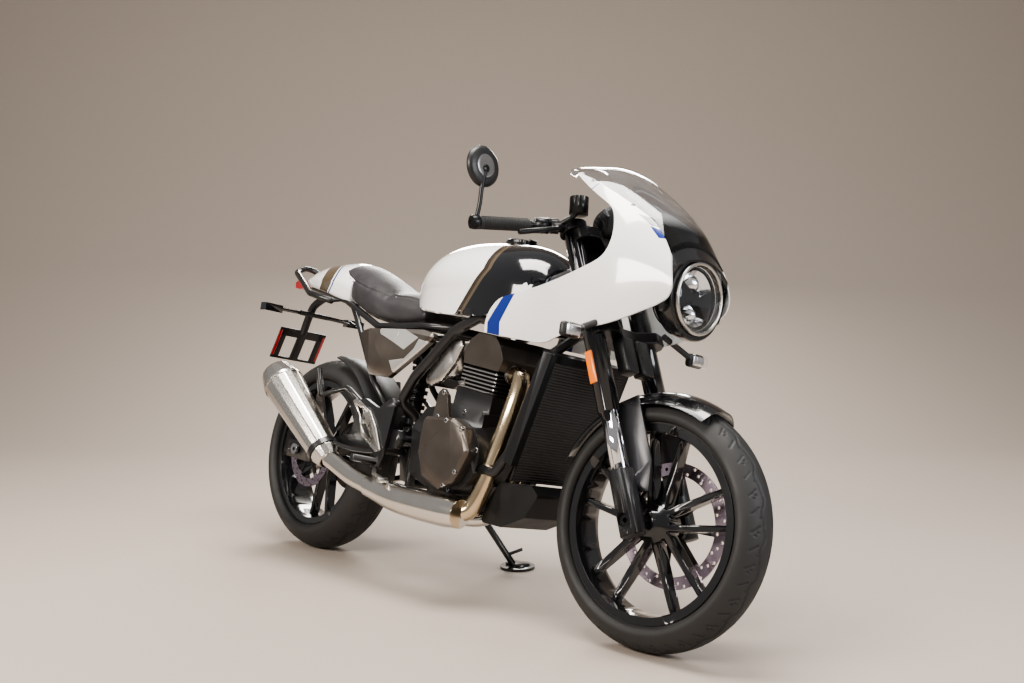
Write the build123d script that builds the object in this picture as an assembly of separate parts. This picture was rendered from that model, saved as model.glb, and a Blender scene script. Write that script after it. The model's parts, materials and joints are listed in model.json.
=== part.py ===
from build123d import *
import json
import os
from math import asin, atan2, cos, degrees, hypot, radians, sin, sqrt, tan

# A cafe racer motorcycle on its side stand, in millimetres.
# Every piece is drawn with the machine upright: +X forward, +Y to its left, +Z up, origin on the floor
# under the rear axle. At the end the front end is steered a little, and the whole machine is leaned
# onto its stand and moved so that the origin is the middle of its footprint.

# Stance
# Heights are measured from the floor line, and typed places lie between the swingarm pivot and the head
# station in proportion, or ahead of the head station at a fixed distance from the fork.
wheelbase = 1377.0
head_station = 1000.0
head_behind_axle = 377.0
front_axle_height = 293.0
rear_axle_height = 306.0
lean_angle = 11.34
steer_at_rest = 3.26
steering_lock = 31.0

# Wheels and tyres
front_radius = 293.0
front_half_width = 55.0
rear_radius = 306.0
rear_half_width = 75.0
bead_radius = 218.3
flange_radius = 231.0
flange_thickness = 4.0
front_rim_half_width = 44.0
mudguard_gap = 13.0
rear_rim_half_width = 57.0
axle_radius = 10.0
axle_bore_radius = 6.0
running_fit = 0.05
seat_gap = 0.3
hub_radius = 32.0
front_hub_half_length = 50.0
rear_hub_half_length = 58.0
spoke_pairs = 5
front_spoke_spread = 24.0
rear_spoke_spread = 24.0

# Brakes
front_disc_radius = 150.0
front_disc_y = 60.0
rear_disc_radius = 115.0
rear_caliper_angle = 172.0
spacer_radius = 16.0
rear_disc_y = -76.0
disc_thickness = 4.5
disc_hole_radius = 4.0
disc_clearance = 5.5

# Steering head and fork
rake = 24.5
steering_foot_ahead = 101.5
fork_offset = 29.0
fork_half_gap = 105.8
stanchion_radius = 21.5
fork_tube_radius = 27.0
leg_radius = 30.0
leg_bottom = -34.0
leg_top = 118.0
tube_bottom = 262.0
lower_yoke_at = 470.0
upper_yoke_at = 728.0
clip_at = 757.0
tube_top = 772.0
yoke_thickness = 30.0
stem_radius = 15.0
bar_radius = 11.0
head_tube_radius = 31.0
pipe_radius = 19.5
head_gap = 1.0
bend_share = 0.49
pot_from_perch = Vector(51.8, 25.9, 35.1)
cylinder_foot = (783.0, 0.0, 560.0)

# Drive
chain_pitch_radius = 105.0
front_sprocket_pitch_radius = 38.0
chain_half_height = 7.5
chain_width = 20.0
chain_y = 93.0
sprocket_thickness = 6.0
sprocket_clearance = 0.6
sprocket_teeth = 42
front_sprocket = (592.0, 388.0)
pivot = (500.0, 390.0)
arm_inner = 105.0
arm_thickness = 27.0

# Bodywork
panel_thickness = 4.0
screen_gap = 0.3

# Sections of the fairing's outer form, and places shared by several pieces
fairing_table = (
    # x, half width, floor, shoulder, top
    (850, 178, 600, 930, 1150),
    (1000, 184, 600, 940, 1186),
    (1100, 183, 620, 945, 1168),
    (1285, 166, 660, 905, 1040),
    (1386, 132, 700, 870, 960),
    (1420, 112, 720, 845, 918),
)
stand_pivot = (588.0, 128.0, 232.0)
stand_axis = (0.214, 0.695, 0.687)
stand_swing = 95.0
stand_eye_half = 11.0
stand_pin_radius = 7.0
stand_foot_radius = 52.0
stand_foot_thickness = 8.0
stand_foot_world = (639.0, 300.0)
cap_centre = (770.0, 0.0, 984.0)
cap_lean = (0.0, 0.0, 1.0)
cap_radius = 44.0
cap_depth = 14.0
cap_gap = 1.0
cap_hinge_height = 4.0
cap_hinge_radius = 3.5
tank_wall = 3.0
tunnel_half = 46.0
plate_hole_radius = 3.0
plate_hole_y = 70.0
cap_swing = 95.0
lamp_centre = (1410.0, 0.0, 828.0)
lamp_radius = 88.0
bobbin_x = -32.0
bobbin_z = rear_axle_height - 2.0
bobbin_bore = 3.4

nodes = {}
body_of = {}


def keep(name, shape, body="chassis"):
    """Files a finished piece under its node name and the body that carries it."""
    nodes[name] = shape
    body_of[name] = body


def carried(point):
    """A typed place on the machine, moved as the wheelbase asks; a Vector is in its place already."""
    if isinstance(point, Vector):
        return point
    x, *rest = point
    head = wheelbase - head_behind_axle
    if x >= head_station:
        x += head - head_station
    elif x > pivot[0]:
        x = pivot[0] + (x - pivot[0]) * (head - pivot[0]) / (head_station - pivot[0])
    return Vector(x, *rest)


def turned(point, axis, angle):
    """The place of a point after a turn about an axis, in degrees."""
    arm = Vector(point) - axis.position
    return axis.position + arm.rotate(Axis((0, 0, 0), axis.direction), angle)


def rod(start, end, radius):
    """A straight round bar between two points."""
    start = carried(start)
    along = carried(end) - start
    return extrude(Plane(origin=start, z_dir=along) * Circle(radius), along.length)


def fitting_bends(points, bends):
    """The bend radii of a tube, each limited by the straight runs that it joins."""
    for before, corner, after, bend in zip(points, points[1:], points[2:], bends):
        inward, outward = corner - before, after - corner
        half_turn = radians(inward.get_angle(outward)) / 2
        yield min(bend, bend_share * min(inward.length, outward.length) / tan(half_turn))


def tube(points, radius, bend=40.0):
    """A bent round tube: straight runs joined by arcs."""
    points = [carried(point) for point in points]
    if len(points) == 2:
        return rod(points[0], points[1], radius)
    bends = bend if isinstance(bend, tuple) else (bend,) * (len(points) - 2)
    path = FilletPolyline(*points, radius=tuple(fitting_bends(points, bends)))
    return sweep(Plane(origin=path @ 0, z_dir=path % 0) * Circle(radius), path=path)


def plate(outline, y_start, y_end, corner=0.0):
    """An outline of (x, z) points, extruded across the machine from one y to another."""
    points = [carried(point if isinstance(point, Vector) else (point[0], 0, point[1])) for point in outline]
    face = make_face(Polyline(*[(point.X, y_start, point.Z) for point in points], close=True))
    solid = extrude(face, y_end - y_start, dir=(0, 1, 0))
    if corner:
        solid = fillet(solid.edges().filter_by(Axis.Y), corner)
    return solid


def block(low, high):
    """A box between two corners."""
    low, high = carried(low), carried(high)
    size = [h - l for l, h in zip(low, high)]
    middle = [(h + l) / 2 for l, h in zip(low, high)]
    return Pos(*middle) * Box(*size)


def ring(profile):
    """A closed (radius, y) outline, turned about the Y axis through the origin."""
    face = make_face(Polyline(*[(r, y, 0) for r, y in profile], close=True))
    return revolve(face, Axis.Y)


def disc(radius, y_start, y_end, x=0.0, z=0.0):
    """A round plate across the machine."""
    return rod((x, y_start, z), (x, y_end, z), radius)


def mirrored(shape):
    """The shape and its twin on the other side."""
    return shape + mirror(shape, Plane.XZ)


def as_one(shapes):
    """Separate solids filed as one piece."""
    return Compound(children=[solid for shape in shapes for solid in shape.solids()])


def largest(shape):
    """The largest solid of a shape, without the offcuts of a cut."""
    return max(shape.solids(), key=lambda solid: solid.volume)


def pair(shape):
    """The shape and its twin on the other side, kept as separate solids."""
    return as_one([shape, mirror(shape, Plane.XZ)])


# Places that follow from the sizes above
steering_axis = Axis((wheelbase + steering_foot_ahead, 0, 0), (-sin(radians(rake)), 0, cos(radians(rake))))
front_centre = Vector(wheelbase, 0, front_axle_height)
rear_centre = Vector(0, 0, rear_axle_height)
up_fork = steering_axis.direction
ahead_of_fork = Vector(cos(radians(rake)), 0, sin(radians(rake)))


def on_fork(distance, y=0.0, ahead=0.0):
    """A point measured up the fork from the front axle, across, and square ahead of the legs."""
    return front_centre + up_fork * distance + Vector(0, y, 0) + ahead_of_fork * ahead


def on_stem(distance):
    """A point on the steering axis, level with a distance up the fork."""
    return on_fork(distance, 0, -fork_offset)


# Wheels


def make_tyre(radius, half_width, rim_half_width, shoulder):
    """A tyre: round crown, sidewalls, and a foot that sits between the rim's flanges."""
    seat = rim_half_width - flange_thickness - seat_gap
    foot = bead_radius + seat_gap
    wall = flange_radius + 5
    outline = [
        Line((foot, -seat, 0), (wall, -seat, 0)),
        ThreePointArc((wall, -seat, 0), (radius - shoulder * 1.45, -half_width * 0.97, 0),
                      (radius - shoulder, -half_width, 0)),
        ThreePointArc((radius - shoulder, -half_width, 0), (radius, 0, 0), (radius - shoulder, half_width, 0)),
        ThreePointArc((radius - shoulder, half_width, 0), (radius - shoulder * 1.45, half_width * 0.97, 0),
                      (wall, seat, 0)),
        Line((wall, seat, 0), (foot, seat, 0)),
        Line((foot, seat, 0), (foot, -seat, 0)),
    ]
    return revolve(make_face(outline), Axis.Y)


def make_rim(half_width, hub_half_length, spread, phase):
    """A cast wheel: barrel with flanges, hub, and slim spokes in pairs that share a lobe at the hub."""
    inner = half_width - flange_thickness
    barrel = ring([
        (flange_radius, -half_width), (flange_radius, -inner), (bead_radius, -inner), (bead_radius, inner),
        (flange_radius, inner), (flange_radius, half_width), (bead_radius - 6, half_width),
        (bead_radius - 12, half_width * 0.5), (bead_radius - 12, -half_width * 0.5),
        (bead_radius - 6, -half_width),
    ])
    hub = disc(hub_radius, -hub_half_length, hub_half_length)
    hub += disc(hub_radius + 14, -hub_half_length * 0.55, hub_half_length * 0.55)
    wheel = barrel + hub
    root_half = 9.0
    tip_half = 7.0
    depth_root = 17.0
    depth_tip = 13.0
    for pair_number in range(spoke_pairs):
        middle = phase + 360.0 / spoke_pairs * pair_number
        for side in (-1, 1):
            root_angle = radians(middle + side * 9)
            tip_angle = radians(middle + side * spread)
            root = Vector(36 * cos(root_angle), 0, 36 * sin(root_angle))
            tip = Vector((bead_radius - 8) * cos(tip_angle), 0, (bead_radius - 8) * sin(tip_angle))
            along = (tip - root).normalized()
            start = Plane(origin=root, x_dir=(0, 1, 0), z_dir=along)
            end = Plane(origin=tip, x_dir=(0, 1, 0), z_dir=along)
            wheel += loft([start * Rectangle(2 * depth_root, 2 * root_half),
                           end * Rectangle(2 * depth_tip, 2 * tip_half)])
    return wheel - disc(axle_radius + running_fit, -hub_half_length - 1, hub_half_length + 1)


def make_disc(radius, y, band, hub_face, holes, arms):
    """A brake disc: a drilled band on a carrier that sits against the hub."""
    half = disc_thickness / 2
    inner = radius - band
    shape = disc(radius, y - half, y + half) - disc(inner, y - half - 1, y + half + 1)
    for row, share in enumerate((0.2, 0.5, 0.8)):
        for number in range(holes):
            angle = radians(360.0 / holes * (number + row / 3))
            r = inner + band * share
            x, z = r * cos(angle), r * sin(angle)
            shape -= disc(disc_hole_radius, y - half - 1, y + half + 1, x, z)
    carrier = disc(44, y - half, y + half)
    for number in range(arms):
        turn = Rot(0, 360.0 / arms * number, 0)
        carrier += turn * block((20, y - half, -7), (inner + 1, y + half, 7))
    shape += carrier
    near, far = sorted((hub_face, y))
    shape += disc(44, near, far)
    return shape - disc(hub_radius + seat_gap, near - 20, far + 20)


def make_sprocket():
    """The rear sprocket: a toothed ring on a carrier, inside the chain."""
    tip = chain_pitch_radius - chain_half_height - sprocket_clearance
    root = tip - 4.5
    half = sprocket_thickness / 2
    points = []
    for tooth in range(sprocket_teeth):
        base = 360.0 / sprocket_teeth * tooth
        for offset, r in ((0.0, root), (0.28, root), (0.45, tip), (0.65, tip), (0.82, root)):
            angle = radians(base + offset * 360.0 / sprocket_teeth)
            points.append((r * cos(angle), r * sin(angle)))
    shape = plate(points, chain_y - half, chain_y + half)
    for number in range(6):
        angle = radians(60 * number)
        shape -= disc(17, chain_y - half - 1, chain_y + half + 1, 70 * cos(angle), 70 * sin(angle))
    shape += disc(44, rear_hub_half_length, chain_y)
    return shape - disc(axle_radius + running_fit, 0, chain_y + half + 1)


def make_wheels():
    """Both wheels, each with its tyre, rim and brake disc, and the rear one with its sprocket."""
    at_front = Pos(*front_centre)
    at_rear = Pos(*rear_centre)
    keep("front_tyre", at_front * make_tyre(front_radius, front_half_width, front_rim_half_width, 36.0),
         "front_wheel")
    keep("front_rim", at_front * make_rim(front_rim_half_width, front_hub_half_length, front_spoke_spread, 54.0),
         "front_wheel")
    keep("front_disc", at_front * make_disc(front_disc_radius, front_disc_y, 30.0, front_hub_half_length, 18, 8),
         "front_wheel")
    keep("rear_tyre", at_rear * make_tyre(rear_radius, rear_half_width, rear_rim_half_width, 45.0),
         "rear_wheel")
    keep("rear_rim", at_rear * make_rim(rear_rim_half_width, rear_hub_half_length, rear_spoke_spread, 90.0),
         "rear_wheel")
    keep("rear_disc", at_rear * make_disc(rear_disc_radius, rear_disc_y, 26.0, -rear_hub_half_length, 16, 6),
         "rear_wheel")
    keep("rear_sprocket", at_rear * make_sprocket(), "rear_wheel")


# Front end


def make_fork():
    """Yokes with the stem, black upper tubes with bright stanchions, and cast legs at the axle."""
    half = yoke_thickness / 2
    spine = rod(on_stem(lower_yoke_at), on_stem(upper_yoke_at), stem_radius)
    yokes = spine
    for at, thick in ((lower_yoke_at, half), (upper_yoke_at, half * 0.75)):
        floor = Plane(origin=on_stem(at) - up_fork * thick, x_dir=ahead_of_fork, z_dir=up_fork)
        half_outline = [(-34, 24), (-8, 90), (-8, 116), (16, 142), (66, 142), (66, 74), (34, 28)]
        outline = half_outline + [(ahead, -across) for ahead, across in reversed(half_outline)]
        bridge = make_face(Polyline(*[(ahead, across, 0) for ahead, across in outline], close=True))
        yokes += floor * extrude(bridge, 2 * thick)
    tubes, bright, legs = [], [], []
    for side in (-1, 1):
        y = side * fork_half_gap
        yokes -= rod(on_fork(lower_yoke_at - 40, y), on_fork(upper_yoke_at + 40, y),
                     fork_tube_radius + running_fit)
        tubes += [rod(on_fork(tube_bottom, y), on_fork(tube_top, y), fork_tube_radius)]
        bright += [rod(on_fork(leg_top, y), on_fork(tube_bottom, y), stanchion_radius)]
        leg = rod(on_fork(leg_bottom, y), on_fork(leg_top, y), leg_radius)
        if side > 0:
            lug = Plane(origin=on_fork(70, y - leg_radius + 8, -leg_radius), x_dir=ahead_of_fork, z_dir=up_fork)
            leg += lug * Pos(-6, 0, 35) * Box(24, 14, 70)
        legs += [leg - Pos(*front_centre) * disc(axle_radius + 6, y - 60, y + 60)]
    keep("fork_yokes", yokes, "steering")
    keep("fork_tubes", as_one(tubes), "steering")
    keep("fork_stanchions", as_one(bright), "steering")
    keep("fork_legs", as_one(legs), "steering")
    reach = fork_half_gap + leg_radius - 8
    spacer_start = front_hub_half_length + 1
    spacer_end = fork_half_gap - leg_radius
    axle = disc(axle_radius, -reach, reach)
    for side in (-1, 1):
        axle += disc(axle_radius + 6 - running_fit, *sorted((side * spacer_start, side * reach)))
    axle -= disc(axle_bore_radius, -reach - 1, reach + 1)
    keep("front_axle", Pos(*front_centre) * axle, "steering")


def make_front_mudguard():
    """The front mudguard: an arched band over the tyre with side stays that reach the fork legs."""
    inner = front_radius + 14
    outer = inner + panel_thickness
    half = front_half_width + mudguard_gap
    section = make_face([
        Line((inner - 34, -half, 0), (inner - 30, -half + panel_thickness, 0)),
        ThreePointArc((inner - 30, -half + panel_thickness, 0), (inner, 0, 0),
                      (inner - 30, half - panel_thickness, 0)),
        Line((inner - 30, half - panel_thickness, 0), (inner - 34, half, 0)),
        ThreePointArc((inner - 34, half, 0), (outer, 0, 0), (inner - 34, -half, 0)),
    ])
    start, end = 63.0, 156.0
    band = Rot(0, -start, 0) * revolve(section, -Axis.Y, end - start)
    guard = Pos(*front_centre) * band
    for side in (-1, 1):
        y0, y1 = sorted((side * (half - 0.5), side * (half + 4.5)))
        guard += plate([on_fork(inner - 19, 0, 68), on_fork(inner - 19, 0, -6), on_fork(70, 0, -6),
                        on_fork(62, 0, 40), on_fork(130, 0, 66)], y0, y1)
        lug0, lug1 = sorted((side * (half + 4), side * (fork_half_gap - leg_radius + 9)))
        guard += rod(on_fork(95, lug0, 0), on_fork(95, lug1, 0), 11)
    for side in (-1, 1):
        y = side * fork_half_gap
        guard -= rod(on_fork(leg_bottom, y), on_fork(leg_top, y), leg_radius + seat_gap)
    keep("front_mudguard", guard, "steering")


def make_caliper(disc_y, disc_radius, angle, size, centre):
    """A brake caliper: a bridge over the disc's edge with a pad block on each side."""
    across, length, depth = size
    slot_width = disc_thickness + 2 * disc_clearance
    overhang = 14
    body = Pos(disc_radius - depth / 2 + overhang, disc_y, 0) * Box(depth, across, length)
    body = fillet(body.edges().filter_by(Axis.Y), 9)
    slot = Pos(disc_radius - depth / 2, disc_y, 0) * Box(depth + 2 * disc_clearance, slot_width, length + 2)
    return Pos(*centre) * (Rot(0, -angle, 0) * (body - slot))


def make_calipers():
    """The front caliper behind the left fork leg, and the rear one on a plate round the rear axle."""
    front = make_caliper(front_disc_y, front_disc_radius, 149, (48, 92, 48), front_centre)
    keep("front_caliper", front - nodes["fork_legs"], "steering")
    rear = make_caliper(rear_disc_y, rear_disc_radius, rear_caliper_angle, (46, 80, 44), (0, 0, rear_axle_height))
    bracket = disc(30, -arm_inner + seat_gap, -arm_inner + 7)
    bracket += Rot(0, -rear_caliper_angle, 0) * block((0, -arm_inner + seat_gap, -24),
                                                      (rear_disc_radius, -arm_inner + 7, 24))
    bracket -= disc(spacer_radius + running_fit, -arm_inner - 1, -arm_inner + 8)
    keep("rear_caliper", rear + Pos(*rear_centre) * bracket)


def make_bars():
    """Clip-on bars with grips, levers, brake reservoir and bar-end mirrors."""
    clamp_outer = fork_tube_radius + 9
    bars, grips, levers, mirrors = [], [], [], []
    for side in (-1, 1):
        y = side * fork_half_gap
        ring_low, ring_high = on_fork(clip_at - 13, y), on_fork(clip_at + 13, y)
        root = on_fork(clip_at, y) + Vector(0, side * (clamp_outer - 8), 0)
        bend = on_fork(clip_at, y) + Vector(-48.1, side * 102.2, -13.8)
        end = bend + Vector(-45, side * 160, -34)
        inward = (root - bend).normalized()
        along = (end - bend).normalized()
        bar = rod(ring_low, ring_high, clamp_outer) + rod(root, bend, bar_radius) + rod(bend, end, bar_radius)
        bar -= rod(ring_low - up_fork * 5, ring_high + up_fork * 5, fork_tube_radius + running_fit)
        bar += rod(bend + inward * 8, bend + inward * 42, 20)
        bars += bar.solids()
        grip = rod(bend + along * 10, end - along * 18, 17)
        grips += (grip - rod(bend, end, bar_radius + running_fit)).solids()
        weight = rod(end - along * (18 - seat_gap), end + along * 4, 18)
        stalk_foot = end - along * 8
        stalk_top = stalk_foot + Vector(-2, 0, 96)
        glass = rod(stalk_top + Vector(-9, 0, 44), stalk_top + Vector(9, 0, 46), 52)
        arm = rod(stalk_foot, stalk_top + Vector(0, 0, 20), 6)
        mirrors += (weight + arm + glass - rod(bend, end + along, bar_radius + running_fit)).solids()
        perch = bend + inward * 58
        lever = rod(perch - inward * 10, perch + inward * 10, 19)
        lever += rod(perch, perch + Vector(34, side * 8, -8), 11)
        lever += tube([perch + Vector(28, side * 6, -7), perch + Vector(50, side * 46, -20),
                       perch + Vector(42, side * 160, -58)], 6.5, 30)
        if side < 0:
            pot = perch + pot_from_perch
            lever += tube([perch + Vector(18, 0, 4), pot + Vector(-8, -16, -12), pot + Vector(0, 0, 12)], 7, 12)
            lever += rod(pot, pot + Vector(-6, 0, 44), 24)
        levers += (lever - rod(root, bend, bar_radius + running_fit)).solids()
    keep("handlebars", as_one(bars), "steering")
    keep("hand_grips", as_one(grips), "steering")
    keep("hand_levers", as_one(levers), "steering")
    keep("mirrors", as_one(mirrors), "steering")


def make_instrument():
    """The round clock on a bracket from the upper yoke, facing the rider."""
    centre = on_stem(upper_yoke_at) + ahead_of_fork * 70 + up_fork * 66
    face = (up_fork * 0.9 - ahead_of_fork * 0.44).normalized()
    clock = rod(centre - face * 24, centre + face * 6, 44)
    foot = on_stem(upper_yoke_at + yoke_thickness * 0.375 + seat_gap) + ahead_of_fork * 26
    clock += rod(foot, foot + up_fork * 18, 14)
    clock += rod(foot + up_fork * 12, centre - face * 12, 9)
    keep("instrument", clock, "steering")


# Frame


def make_frame():
    """Main tubes from the steering head to the swingarm pivot, and a downtube on each side."""
    low_head = on_stem(lower_yoke_at + yoke_thickness / 2 + head_gap)
    high_head = on_stem(upper_yoke_at - yoke_thickness * 0.375 - head_gap)
    head = rod(low_head, high_head, head_tube_radius)
    near_head = on_stem(690)
    lower_head = on_stem(538)
    px, pz = pivot
    side_tubes = tube([near_head + Vector(-10, -12, 0), (900, -96, 815), (682, -118, 712), (534, -118, 574),
                       (486, -118, 500), (502, -66, 458), (px + 18, -66, 262)], 15, (60, 60, 60, 30, 30))
    down = tube([lower_head + Vector(0, -14, 0), (1040, -112, 648), (968, -120, 400), (930, -124, 346),
                 (866, -126, 352)], 13, (50, 40, 20))
    brace = tube([on_stem(560) + Vector(-6, -12, 0), (960, -92, 735), (760, -112, 752)], 11, 60)
    shape = head + mirrored(side_tubes) + mirrored(down) + mirrored(brace)
    shape += rod((px + 18, -66, 270), (px + 18, 66, 270), 13)
    shape += rod((682, -118, 712), (682, 118, 712), 12)
    shape += mirrored(plate([(px - 34, pz + 34), (px + 34, pz + 50), (590, pz + 30), (590, pz - 10),
                             (px + 44, pz - 60), (px + 20, pz - 120),
                             (px - 14, pz - 116), (px - 34, pz - 40)], -80, -62))
    stand = carried(stand_pivot)
    line = Vector(*stand_axis).normalized()
    lug = stand - line * stand_eye_half
    shape += rod(lug - line * 14, lug - line * seat_gap, 19)
    shape += tube([(px + 18, 64, 270), (px + 50, 90, 236), lug - line * 18], 13, 20)
    shape += rod(lug - line * 4, stand + line * (stand_eye_half + 3), stand_pin_radius)
    shape -= rod(low_head - up_fork, high_head + up_fork, stem_radius + running_fit)
    shape -= disc(24 + running_fit, -140, 140, px, pz)
    keep("main_frame", shape)


def make_subframe():
    """The rear frame under the seat, with a stay each side down to the main frame."""
    rail = tube([(664, -100, 720), (500, -104, 722), (300, -106, 716), (96, -98, 796), (-150, -70, 842)], 10.5, 60)
    stay = tube([(150, -103, 772), (212, -112, 712), (332, -116, 552), (430, -116, 470)], 9.5, 40)
    shape = mirrored(rail) + mirrored(stay)
    for x, z, y in ((500, 722, 104), (96, 796, 98), (-150, 842, 70)):
        shape += rod((x, -y, z), (x, y, z), 9)
    keep("rear_subframe", shape - nodes["main_frame"])


def make_swingarm():
    """The swingarm: two box arms, a pivot tube and a cross brace, slotted for the rear axle."""
    px, pz = pivot
    outline = [(-58, rear_axle_height - 26), (-58, rear_axle_height + 26), (40, rear_axle_height + 30), (px - 60, pz + 22),
               (px + 14, pz + 27), (px + 26, pz), (px + 10, pz - 27), (px - 80, pz - 34), (60, rear_axle_height - 32)]
    right = plate(outline, -arm_inner - arm_thickness, -arm_inner, 8)
    left = plate(outline, arm_inner, arm_inner + arm_thickness, 8)
    shape = right + left + disc(24, -arm_inner - 5, arm_inner + 5, px, pz)
    brace_x, brace_z = 392.0, 366.0
    shape += plate([(brace_x - 22, brace_z - 30), (brace_x + 22, brace_z - 22), (brace_x + 22, brace_z + 34),
                    (brace_x - 22, brace_z + 30)], -arm_inner - 5, arm_inner + 5)
    shape -= plate([(-30, rear_axle_height - axle_radius - running_fit), (-30, rear_axle_height + axle_radius + running_fit),
                    (20, rear_axle_height + axle_radius + running_fit), (20, rear_axle_height - axle_radius - running_fit)],
                   -arm_inner - arm_thickness - 1, arm_inner + arm_thickness + 1)
    chain_low, chain_high = chain_y - chain_width / 2 - 6, chain_y + chain_width / 2 + 6
    shape -= block((brace_x - 60, chain_low, 200), (brace_x + 60, chain_high, brace_z - 14))
    for side in (-1, 1):
        face = side * (arm_inner + arm_thickness)
        y0, y1 = sorted((face, face + side * 8))
        boss = disc(15, y0, y1, bobbin_x, bobbin_z)
        h0, h1 = sorted((face - side * 20, face + side * 9))
        shape += boss
        shape -= disc(bobbin_bore, h0, h1, bobbin_x, bobbin_z)
    keep("swingarm", shape)
    reach = arm_inner + arm_thickness
    axle = disc(axle_radius, -reach - 10, reach + 10, 0, rear_axle_height)
    for side in (-1, 1):
        y0, y1 = sorted((side * (reach + seat_gap), side * (reach + 12)))
        axle += disc(17, y0, y1, 0, rear_axle_height)
        inner = rear_hub_half_length if side < 0 else chain_y + sprocket_thickness / 2
        y0, y1 = sorted((side * (inner + 1), side * (arm_inner - seat_gap)))
        axle += disc(spacer_radius, y0, y1, 0, rear_axle_height)
    axle -= disc(axle_bore_radius, -reach - 20, reach + 20, 0, rear_axle_height)
    keep("rear_axle", axle)


def make_shock():
    """The single rear shock absorber behind the engine, with its spring as a ribbed sleeve."""
    low, high = Vector(392, 0, 402), Vector(420, 0, 690)
    along = (high - low).normalized()
    length = (high - low).length
    shape = rod(low, high, 12)
    coils = 8
    pitch = (length - 110) / coils
    for coil in range(coils):
        start = low + along * (40 + pitch * coil)
        shape += rod(start, start + along * pitch * 0.55, 31)
    shape += rod(low + along * 30, low + along * 40, 34)
    shape += rod(high - along * 74, high - along * 40, 34)
    shape += rod(low + along * 36, high - along * 70, 22)
    for centre, half in ((low, 16), (high, 16)):
        shape += rod(centre - Vector(0, half, 0), centre + Vector(0, half, 0), 16)
    keep("shock_absorber", shape - nodes["swingarm"])


# Engine


def make_engine():
    """The engine: crankcase, tilted cylinder with fins, head, and the covers on both sides."""
    case = plate([(566, 300), (640, 276), (776, 268), (812, 310), (838, 400), (846, 500), (700, 512), (600, 490),
                  (548, 430)], -112, 74, 12)
    case += plate([(600, 284), (622, 222), (740, 216), (768, 276)], -74, 70, 10)
    case += plate([(650, 290), (780, 284), (826, 350), (836, 440), (700, 470), (650, 420)], 70, 118, 12)
    case += disc(94, -146, -108, 790, 378)
    case += disc(80, 112, 136, 760, 366)
    case += plate([(690, 500), (846, 490), (850, 545), (700, 562)], -96, 96, 6)
    keep("crankcase", case - nodes["main_frame"])

    cover = plate([(672, 466), (792, 472), (846, 452), (874, 388), (830, 306), (766, 278), (700, 300), (668, 366)],
                  -180, -146 - seat_gap, 16)
    cover = chamfer(cover.faces().sort_by(Axis.Y)[0].edges(), 9)
    cover += plate([(686, 455), (700, 536), (716, 548), (738, 530), (760, 455)], -158, -146 - seat_gap, 5)
    keep("clutch_cover", cover)

    left = disc(70, 136 + seat_gap, 152, 760, 366)
    left = chamfer(left.edges().group_by(Axis.Y)[-1], 6)
    gearbox = plate([(540, 352), (560, 440), (640, 462), (676, 430), (660, 330), (600, 318)],
                    chain_y + chain_width / 2 + 3, 136, 12)
    keep("left_engine_cover", as_one([left, gearbox - nodes["crankcase"]]))

    tilt = 7.0
    base = carried(cylinder_foot)
    barrel = Pos(*base) * (Rot(0, tilt, 0) * block((-62, -92, -8), (66, 92, 58)))
    fins = barrel
    for number in range(6):
        z = 2 + 10.5 * number
        fin = block((-74, -104, z - 8), (78, 104, z - 4))
        fin = fillet(fin.edges().filter_by(Axis.Z), 12)
        fins += Pos(*base) * (Rot(0, tilt, 0) * fin)
    keep("cylinder", fins - nodes["crankcase"])
    head = Pos(*base) * (Rot(0, tilt, 0) * plate([(-70, 58), (76, 58), (84, 92), (60, 128), (34, 148), (-34, 148),
                                                  (-62, 126), (-78, 90)], -104, 104, 6))
    keep("cylinder_head", head - nodes["cylinder"])

    silver = plate([(572, 562), (576, 590), (662, 682), (702, 688), (714, 672), (690, 620), (640, 568), (600, 552)],
                   -112, -98, 8)
    silver = chamfer(silver.faces().sort_by(Axis.Y)[0].edges(), 4)
    inner = plate([(612, 592), (656, 656), (700, 660), (704, 610), (650, 578)], -98, -40)
    keep("intake_cover", pair(silver + inner - nodes["cylinder"] - nodes["cylinder_head"] - nodes["main_frame"]))

    guard = plate([(862, 212), (940, 210), (1020, 246), (1058, 306), (1030, 330), (912, 324), (872, 262)], -84, 84, 9)
    guard += rod((930, 62, 300), (800, 62, 300), 7) + rod((930, -52, 312), (800, -52, 312), 7)
    keep("belly_guard", largest(guard - nodes["main_frame"] - nodes["crankcase"]))


def make_radiator():
    """The radiator in its frame, in front of the downtubes."""
    top, low = carried((1102, 0, 655)), carried((1014, 0, 372))
    down = (low - top).normalized()
    back = Vector(-down.Z, 0, down.X) * -1
    thick = 32.0
    outline = [top, low, low + back * thick, top + back * thick]
    core = plate(outline, -150, 150)
    tank_line = [top - down * 4, top + down * 26, top + down * 26 + back * 42, top - down * 4 + back * 42]
    shape = core + plate(tank_line, -140, 140)
    strip = [low, low + down * 40, low + down * 40 + back * 8, low + back * 8]
    shape += plate(strip, -130, 130)
    keep("radiator", shape - nodes["main_frame"] - nodes["belly_guard"])


# Exhaust


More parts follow.
